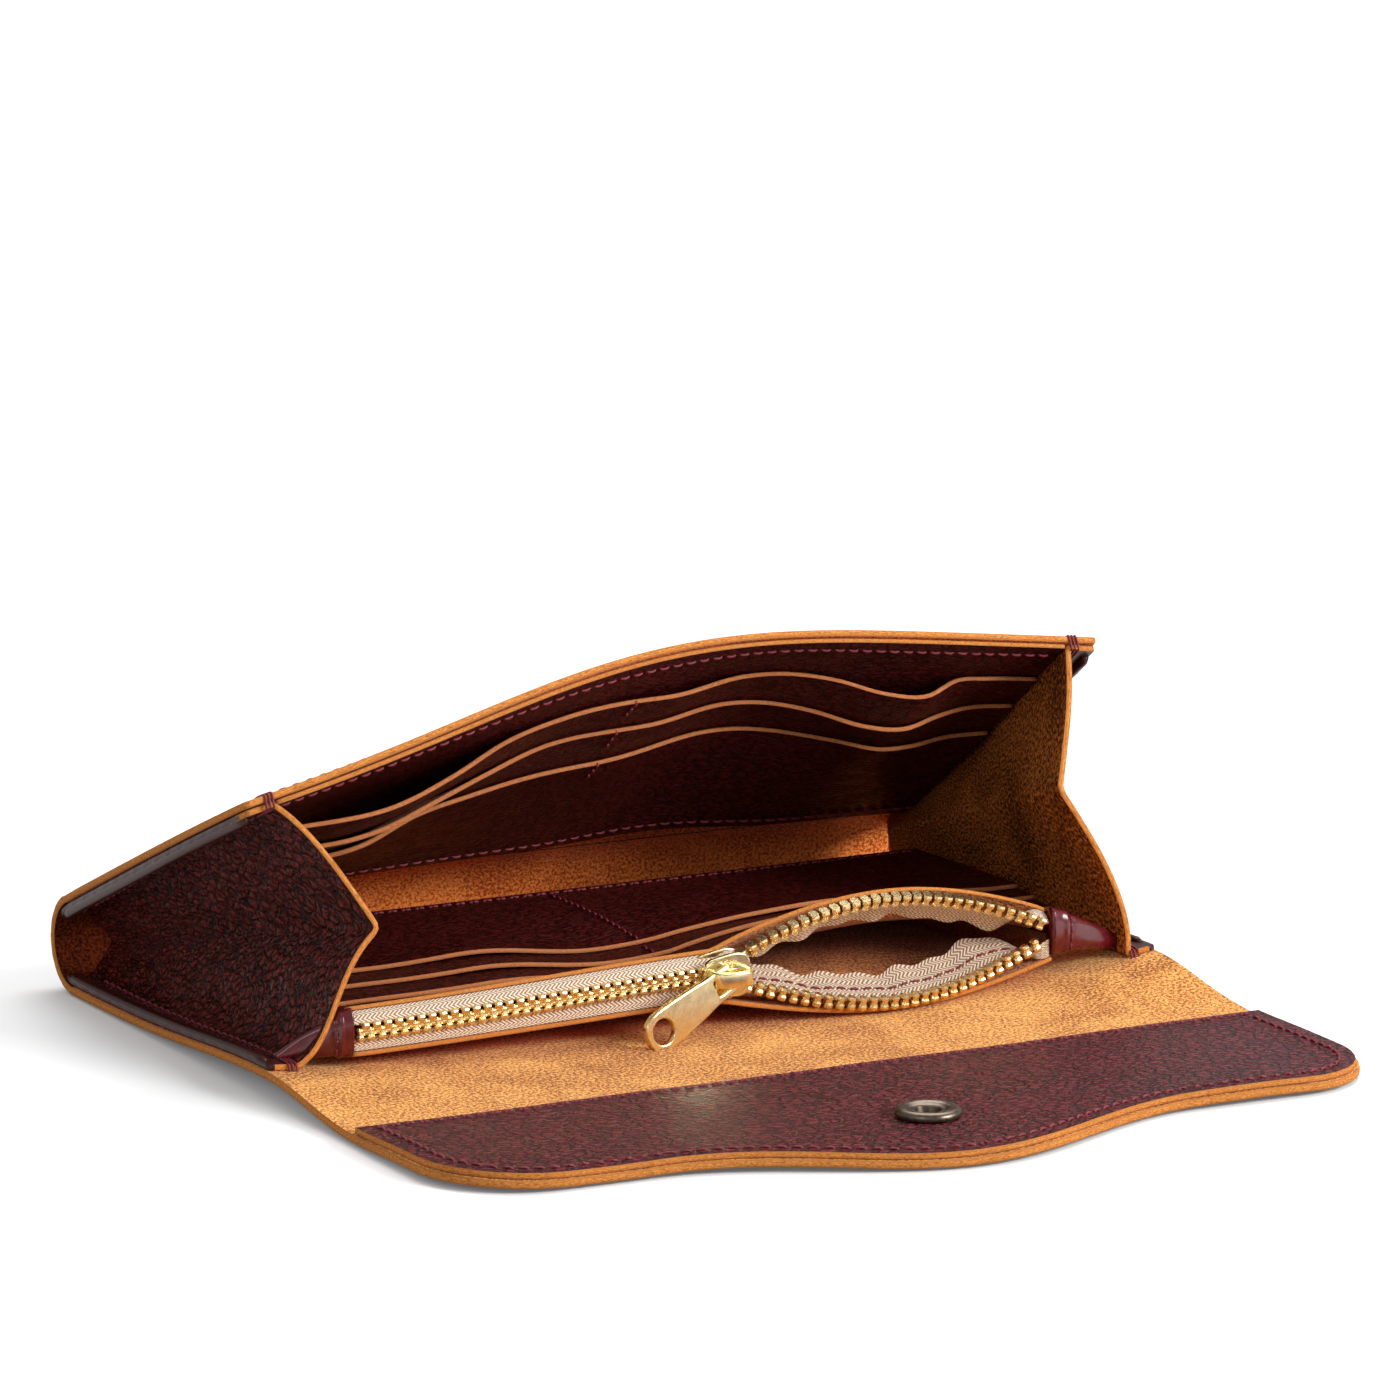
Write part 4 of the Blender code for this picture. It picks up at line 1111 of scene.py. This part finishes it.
def place_tapes():
    for name, side in (("upper", 1), ("lower", -1)):
        skins = (TAPE, TAPE, TAPE)
        closed = sheet(f"tape_{name}_closed", spread(-ZIP_HALF + 0.4, OPEN_FROM, 60), spread(0.0, 1.0, 8),
                       tape_surface(side), 0.5, skins, (), lambda x, share: points(x, share * 4.6))
        on_back(closed)
        opened = sheet(f"tape_{name}_open", spread(OPEN_FROM, ZIP_HALF - 0.4, 70), spread(0.0, 1.0, 14),
                       tape_surface(side), 0.5, skins, (), lambda x, share: points(x, share * 9.0))
        flatten(opened)
        on_back(opened)
        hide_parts(f"zip_tape_{name}")


def place_tape_threads():
    """The dark seam along the middle of each tape where the zip gapes."""
    x = spread(OPEN_FROM + 5.0, ZIP_HALF - 5.0, 60)
    for name, side, share in (("upper", 1, 0.42), ("lower", -1, 0.45)):
        line = tape_surface(side)(x, np.full_like(x, share)) + np.array([0.0, -0.2, 0.22])
        seam = stitches(f"seam_tape_{name}", line, (0.0, -0.5, 0.9), THREAD, 2.9, 0.24)
        flatten(seam)
        on_back(seam)


def tooth_shape(width):
    """One tooth: a root that grips the tape and a narrower head, rounded at its end."""
    half_width = width * np.array([0.62, 0.66, 0.62, 0.46, 0.46, 0.58, 0.53, 0.30])
    reach = np.array([1.75, 1.35, 0.95, 0.55, 0.05, -0.25, -0.6, -0.78])
    depth = np.array([1.15, 1.3, 1.3, 1.05, 0.95, 1.0, 0.9, 0.55])
    ring = np.array([(1, 0.55), (0.55, 1), (-0.55, 1), (-1, 0.55), (-1, -0.55), (-0.55, -1), (0.55, -1), (1, -0.55)])
    verts = []
    for w, z, d in zip(half_width, reach, depth):
        verts += [(w * x, d * y, z) for x, y in ring]
    faces = [list(range(8))[::-1]]
    rows = len(reach)
    for i in range(rows - 1):
        for k in range(8):
            n = (k + 1) % 8
            faces.append([i * 8 + k, i * 8 + n, i * 8 + 8 + n, i * 8 + 8 + k])
    faces.append([8 * (rows - 1) + k for k in range(8)])
    return np.array(verts), faces


def teeth_row(side, first, last, width):
    """The teeth from number first to last of one row, as vertices and faces."""
    shape, shape_faces = tooth_shape(width)
    verts = []
    faces = []
    for k in range(first, last):
        x = -ZIP_HALF + TOOTH_START + k * TOOTH_PITCH + (TOOTH_PITCH / 2.0 if side > 0 else 0.0)
        here = zip_path(np.array([x - 0.5, x, x + 0.5]), side)
        tangent = unit(here[2] - here[0])
        gape = float(lens(np.array(x)))
        lean = 0.55 * gape
        up = unit(np.array([0.0, -sin(lean) * side * 0.6, side * cos(lean)]))
        depth = unit(np.cross(up, tangent)) * (1.0 if side > 0 else -1.0)
        up = unit(np.cross(tangent, depth))
        up = up if up[2] * side > 0 else -up
        moved = here[1] + shape[:, :1] * tangent + shape[:, 1:2] * depth + shape[:, 2:] * up
        flip = np.dot(np.cross(tangent, depth), up) < 0
        start = sum(len(v) for v in verts)
        verts.append(moved)
        faces += [[start + i for i in (reversed(face) if flip else face)] for face in shape_faces]
    return np.concatenate(verts), faces


def place_teeth():
    total = int(2.0 * (ZIP_HALF - TOOTH_START) / TOOTH_PITCH)
    split = int((OPEN_FROM + ZIP_HALF - TOOTH_START) / TOOTH_PITCH)
    for name, side in (("upper", 1), ("lower", -1)):
        verts, faces = teeth_row(side, 0, split, 1.32)
        shut = make_mesh(f"teeth_{name}_closed", verts, faces, [BRASS])
        shut.data.shade_flat()
        on_back(shut)
        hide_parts(f"zip_teeth_{name}")
        for group, start in enumerate(range(split, total, 3)):
            verts, faces = teeth_row(side, start, min(start + 3, total), 1.45)
            item = make_mesh(f"teeth_{name}_open_{group + 1}", verts, faces, [BRASS])
            item.data.shade_flat()
            draw_shut(item, side, -ZIP_HALF + TOOTH_START + (start + 1.0) * TOOTH_PITCH)
            on_back(item)


def draw_shut(item, side, x):
    """Gives these teeth a mesh of their own when they sit away from their row."""
    here = zip_path(np.array(x), side)
    home = points(x + zip_shift(x), ZIP_Y, ZIP_Z + zip_rise(x))
    way = here - home
    travel = float(np.linalg.norm(way))
    if travel < 0.05:
        return
    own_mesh(item)


def place_end_tab(name, side):
    """The folded leather tab at each end of the zip, tapering to the corner of the mouth."""
    start = float(zip_path(np.array(side * (ZIP_HALF + 0.2)), 1)[0])
    z_start = ZIP_Z + float(zip_rise(side * ZIP_HALF))
    end = side * TAB_END_X
    z_end = T + float(lift(side * TAB_END_X, 0.0)) + 1.3
    rings = 44
    around = 28
    verts = []
    for i in range(rings + 1):
        t = i / rings
        x = start + (end - start) * t
        half = 4.7 + (0.9 - 4.7) * t**1.15
        half *= 1.0 + 0.05 * sin(9.0 * t + 1.0) * (1.0 - t)
        ridge = 0.5 * np.exp(-(((t - 0.17) / 0.035) ** 2)) - 0.25 * np.exp(-(((t - 0.24) / 0.03) ** 2))
        deep = (1.75 - 1.0 * t) * (1.0 + 0.1 * sin(7.0 * t))
        z = z_start + (z_end - z_start) * t**1.25
        y = -2.0 + 4.6 * t
        for k in range(around):
            turn = 2.0 * pi * k / around
            c = np.sign(cos(turn)) * abs(cos(turn)) ** 0.75
            q = np.sign(sin(turn)) * abs(sin(turn)) ** 0.9
            crease = 0.22 * sin(3.0 * turn + 5.0 * t) * t * (1.0 - t) * 2.0
            verts.append((x, y + (deep + ridge + crease) * c, z + (half + ridge * 0.6) * q))
    faces = ring_faces(rings + 1, around)
    if side > 0:
        faces = [face[::-1] for face in faces]
    item = make_mesh(f"end_tab_{name}", verts, faces, [PATENT])
    if side > 0:
        press_tab(item)
    on_back(item)
    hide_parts(f"zip_end_tab_{name}")
    x = start + (end - start) * 0.225
    z = z_start + (z_end - z_start) * 0.225**1.25
    line = [(x, -2.75 + 0.14 * abs(k), z + k * 0.75) for k in range(-5, 6)]
    seam = stitches(f"seam_end_tab_{name}", line, (0.0, -1.0, 0.0), THREAD, 1.9, 0.22)
    if side > 0:
        press_tab(seam)
    on_back(seam)


def press_tab(item):
    """Gives a piece of the right end tab a mesh of its own."""
    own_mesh(item)


# ---------------------------------------------------------------- metal

def flat_solid(name, outlines, half_thickness, bevel, placing, skin):
    """A flat outline, with holes, of real thickness and rounded edges."""
    curve = bpy.data.curves.new(name, "CURVE")
    curve.dimensions = "2D"
    curve.fill_mode = "BOTH"
    for outline in outlines:
        spline = curve.splines.new("POLY")
        spline.points.add(len(outline) - 1)
        for point, (x, y) in zip(spline.points, outline):
            point.co = (x, y, 0.0, 1.0)
        spline.use_cyclic_u = True
    curve.extrude = half_thickness - bevel
    curve.bevel_depth = bevel
    curve.bevel_resolution = 3
    curve.offset = -bevel
    holder = bpy.data.objects.new(name + "_outline", curve)
    bpy.context.scene.collection.objects.link(holder)
    bpy.context.view_layer.update()
    mesh = bpy.data.meshes.new_from_object(holder.evaluated_get(bpy.context.evaluated_depsgraph_get()))
    bpy.data.objects.remove(holder, do_unlink=True)
    bpy.data.curves.remove(curve)
    verts = np.array([placing @ vert.co for vert in mesh.vertices])
    faces = [list(face.vertices) for face in mesh.polygons]
    bpy.data.meshes.remove(mesh)
    item = make_mesh(name, verts, faces, [skin])
    item.data.shade_smooth()
    item.data.set_sharp_from_angle(angle=radians(35.0))
    return item


def circle(x, y, radius, count=40):
    return [(x + radius * cos(2 * pi * k / count), y + radius * sin(2 * pi * k / count)) for k in range(count)]


def round_box(half_x, half_y, radius, x=0.0, y=0.0, count=6):
    outline = []
    for quarter in range(4):
        cx = (half_x - radius) * (1 if quarter in (0, 3) else -1)
        cy = (half_y - radius) * (1 if quarter in (0, 1) else -1)
        for k in range(count + 1):
            turn = pi / 2.0 * (quarter + k / count)
            outline.append((x + cx + radius * cos(turn), y + cy + radius * sin(turn)))
    return outline


def place_slider():
    low, high = (mm(corner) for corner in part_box("zip_slider"))
    centre = Vector(((low[0] + high[0]) / 2.0 - 2.6, ZIP_Y, ZIP_Z + float(zip_rise(0.0))))
    upright = Matrix.Translation(centre) @ Matrix.Rotation(pi / 2.0, 4, "X")
    shield = soften([(-5.2, -1.9), (-4.6, -3.3), (-2.0, -3.9), (2.4, -4.6), (4.4, -3.9), (5.2, -2.2),
                     (5.2, 2.2), (4.4, 3.9), (2.4, 4.6), (-2.0, 3.9), (-4.6, 3.3), (-5.2, 1.9)], 3)
    front_plate = flat_solid("slider_front", [shield], 0.6, 0.3, upright @ Matrix.Translation((0, 0, 2.1)), GOLD)
    back_plate = flat_solid("slider_back", [shield], 0.5, 0.25, upright @ Matrix.Translation((0, 0, -2.1)), GOLD)
    neck = flat_solid("slider_neck", [round_box(0.9, 1.2, 0.5, 3.9, 0.0)], 2.0, 0.2, upright, GOLD)
    side_frame = Matrix.Translation(centre + Vector((0.0, -2.5, 0.0)))
    outer = soften([(-4.4, 0.4), (-4.4, -2.6), (-3.4, -4.1), (-1.2, -4.5), (2.4, -4.5), (3.9, -3.6),
                    (4.5, -2.0), (4.5, 0.4)], 2)
    inner = soften([(-3.0, -0.3), (-3.0, -2.2), (-2.4, -3.0), (-1.0, -3.3), (1.8, -3.3), (2.9, -2.6),
                    (3.1, -1.4), (3.1, -0.3)], 2)
    bridge = flat_solid("slider_bridge", [outer, inner], 1.55, 0.35, side_frame, GOLD)
    for item in (front_plate, back_plate, neck, bridge):
        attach(item, "slider")
    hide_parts("zip_slider")
    return centre


def soften(outline, rounds):
    """Corner cutting on a closed outline."""
    line = np.array(outline, float)
    for _ in range(rounds):
        following = np.roll(line, -1, axis=0)
        line = np.stack([line * 0.78 + following * 0.22, line * 0.22 + following * 0.78], axis=1).reshape(-1, 2)
    return [tuple(point) for point in line]


def place_pull(centre):
    axis = Vector((centre.x - 0.4, -6.2, centre.z - 0.1))
    end = Vector((-21.4, -10.4, 3.5))
    direction = (end - axis).normalized()
    length = (end - axis).length
    side = direction.cross(Vector((0.0, -1.0, 0.0))).normalized()
    face = side.cross(direction)
    placing = Matrix((side, direction, face)).transposed().to_4x4()
    placing.translation = axis
    tip = length - 0.2
    outer = soften([(-2.3, -1.0), (2.3, -1.0), (2.9, -0.4), (3.1, 5.8), (3.5, 8.0), (4.2, tip - 6.4),
                    (4.2, tip - 2.6), (2.8, tip - 0.3), (0.0, tip + 0.3), (-2.8, tip - 0.3),
                    (-4.2, tip - 2.6), (-4.2, tip - 6.4), (-3.5, 8.0), (-3.1, 5.8), (-2.9, -0.4)], 3)
    slot = round_box(1.75, 2.1, 0.7, 0.0, 2.1)
    hole = circle(0.0, tip - 3.9, 2.65)
    pull = flat_solid("pull", [outer, slot, hole], 0.75, 0.3, placing, GOLD)
    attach(pull, "pull")
    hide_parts("pull_tab")


def lathe(name, profile, placing, skin, around=56):
    """A turned part from its profile of (radius, height)."""
    verts = []
    for radius, height in profile:
        for k in range(around):
            turn = 2.0 * pi * k / around
            verts.append(placing @ Vector((radius * cos(turn), radius * sin(turn), height)))
    item = make_mesh(name, verts, ring_faces(len(profile), around), [skin])
    item.data.set_sharp_from_angle(angle=radians(40.0))
    return item


def place_snap():
    base = T + LAYER_GAP + GUSSET + float(wave(0.0, SNAP_Y))
    here = Matrix.Translation((0.0, SNAP_Y, base))
    profile = [(6.0, 0.0), (6.35, 0.25), (6.45, 0.7), (6.3, 1.25), (5.8, 1.65), (5.1, 1.8), (4.4, 1.72), (3.9, 1.45),
               (3.5, 1.2), (3.2, 1.15), (2.9, 1.2), (2.65, 1.15), (2.5, 0.6), (2.4, 0.08), (0.05, 0.05)]
    socket = lathe("snap_disc", profile, here, ANTIQUE)
    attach(socket, "flap")
    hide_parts("snap_socket", "snap_spring")
    crossing = here @ Matrix.Translation((0, 0, 0.14))
    bar = flat_solid("snap_bar", [round_box(2.1, 0.42, 0.2)], 0.1, 0.05, crossing, ANTIQUE)
    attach(bar, "flap")
    cap = [(0.05, -0.55), (2.5, -0.53), (4.4, -0.42), (5.6, -0.2), (6.15, 0.1), (6.25, 0.4), (6.1, 1.0), (0.05, 1.0)]
    low = Matrix.Translation((0.0, SNAP_Y, 0.62 + float(wave(0.0, SNAP_Y)) - 0.45))
    disc = lathe("snap_cap_outside", cap, low, ANTIQUE)
    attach(disc, "flap")
    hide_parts("snap_cap")


def place_stud():
    s = 57.3
    origin = front(np.array(0.0), np.array(s), FOLD_R)
    out = unit(front(np.array(0.0), np.array(s), FOLD_R + 1.0) - origin)
    ahead = unit(front(np.array(0.0), np.array(s + 1.0), FOLD_R) - origin)
    out = unit(out - ahead * np.dot(out, ahead))
    across = np.cross(ahead, out)
    placing = Matrix((tuple(across), tuple(ahead), tuple(out))).transposed().to_4x4()
    placing.translation = tuple(origin)
    stud = [(4.5, 0.03), (4.6, 0.12), (4.4, 0.2), (3.0, 0.3), (2.3, 0.42), (1.6, 0.7), (1.4, 1.1), (1.55, 1.35),
            (1.55, 1.42), (1.2, 1.56), (0.05, 1.6)]
    top = lathe("stud_outside", stud, placing, ANTIQUE)
    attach(top, "front_stud")
    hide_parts("snap_stud", "stud_post")


# ---------------------------------------------------------------- light and camera

def aim(item, target):
    item.rotation_mode = "QUATERNION"
    item.rotation_quaternion = (Vector(target) - item.location).to_track_quat("-Z", "Y")


def add_area(name, place, target, size, energy):
    light = bpy.data.lights.new(name, "AREA")
    light.shape = "RECTANGLE"
    light.size, light.size_y = size
    light.energy = energy
    item = bpy.data.objects.new(name, light)
    item.location = place
    bpy.context.scene.collection.objects.link(item)
    aim(item, target)


def floor_skin():
    """White paper: full strength to the eye and in gloss, but it lights matt surfaces with only a part."""
    material, tree, shader = new_shader("studio_floor")
    shader.inputs["Base Color"].default_value = (0.93, 0.93, 0.93, 1.0)
    shader.inputs["Roughness"].default_value = 0.9
    shader.inputs["Specular IOR Level"].default_value = 0.0
    shader.inputs["Emission Color"].default_value = (1.0, 1.0, 1.0, 1.0)
    place = add_node(tree, "ShaderNodeNewGeometry")
    length = add_node(tree, "ShaderNodeVectorMath", operation="LENGTH")
    tree.links.new(place.outputs["Position"], length.inputs[0])
    tree.links.new(remap(tree, length.outputs["Value"], 0.25, 1.3, 0.10, 0.85), shader.inputs["Emission Strength"])
    bounce = add_node(tree, "ShaderNodeBsdfDiffuse")
    bounce.inputs["Color"].default_value = (0.42, 0.42, 0.42, 1.0)
    seen = add_node(tree, "ShaderNodeLightPath")
    mix = add_node(tree, "ShaderNodeMixShader")
    tree.links.new(seen.outputs["Is Diffuse Ray"], mix.inputs[0])
    tree.links.new(shader.outputs[0], mix.inputs[1])
    tree.links.new(bounce.outputs[0], mix.inputs[2])
    tree.links.new(mix.outputs[0], tree.nodes["Material Output"].inputs["Surface"])
    return material


def place_studio():
    mesh = bpy.data.meshes.new("floor")
    size = 12.0
    z = -0.00035
    mesh.from_pydata([(-size, -size, z), (size, -size, z), (size, size, z), (-size, size, z)], [], [(0, 1, 2, 3)])
    mesh.materials.append(floor_skin())
    floor = link("floor", mesh)
    world = bpy.context.scene.world or bpy.data.worlds.new("studio")
    bpy.context.scene.world = world
    world.use_nodes = True
    background = world.node_tree.nodes["Background"]
    background.inputs["Color"].default_value = (1.0, 1.0, 1.0, 1.0)
    seen = add_node(world.node_tree, "ShaderNodeLightPath")
    strength = remap(world.node_tree, seen.outputs["Is Camera Ray"], 0.0, 1.0, 0.42, 1.0)
    world.node_tree.links.new(strength, background.inputs["Strength"])
    middle = (0.0, 0.0, 0.03)
    add_area("key", (1.0, -1.05, 0.72), middle, (0.7, 0.6), 24.0)
    add_area("top", (0.45, 0.55, 1.25), middle, (1.1, 0.9), 13.0)
    add_area("fill", (-1.1, -0.9, 0.75), middle, (0.4, 0.4), 2.2)


CAMERA_YAW = radians(28.508)
CAMERA_PITCH = radians(11.753)
CAMERA_ROLL = radians(0.366)
CAMERA_PLACE = (-0.735794, -1.346276, 0.389617)
SENSOR = 36.0
FOCAL_SHARE = 7978.93 / 1400.0         # the focal length over the image's width


def place_camera():
    bpy.context.scene.view_settings.view_transform = "Standard"
    yaw, pitch, roll = CAMERA_YAW, CAMERA_PITCH, CAMERA_ROLL
    ahead = Vector((sin(yaw) * cos(pitch), cos(yaw) * cos(pitch), -sin(pitch)))
    right = Vector((cos(yaw), -sin(yaw), 0.0))
    up = right.cross(ahead)
    tilted_right = cos(roll) * right + sin(roll) * up
    tilted_up = -sin(roll) * right + cos(roll) * up
    camera = bpy.data.cameras.new("camera")
    camera.sensor_width = SENSOR
    camera.lens = FOCAL_SHARE * SENSOR
    camera.shift_y = -0.0082
    camera.clip_start = 0.01
    camera.clip_end = 30.0
    item = bpy.data.objects.new("camera", camera)
    placing = Matrix((tilted_right, tilted_up, -ahead)).transposed().to_4x4()
    placing.translation = CAMERA_PLACE
    item.matrix_world = placing
    bpy.context.scene.collection.objects.link(item)
    bpy.context.scene.camera = item


low_leather = place_main()
flap_seams(place_flap(low_leather))
for gusset in GUSSETS:
    place_gusset(gusset)
    gusset_rims(gusset)
    gusset_seams(gusset)
    bar_tacks(gusset)
place_upper_cards()
upper_card_seams()
place_lower_cards()
place_pouch()
place_tapes()
place_tape_threads()
place_teeth()
place_end_tab("left", -1.0)
place_end_tab("right", 1.0)
slider_centre = place_slider()
place_pull(slider_centre)
place_snap()
place_stud()
place_studio()
place_camera()
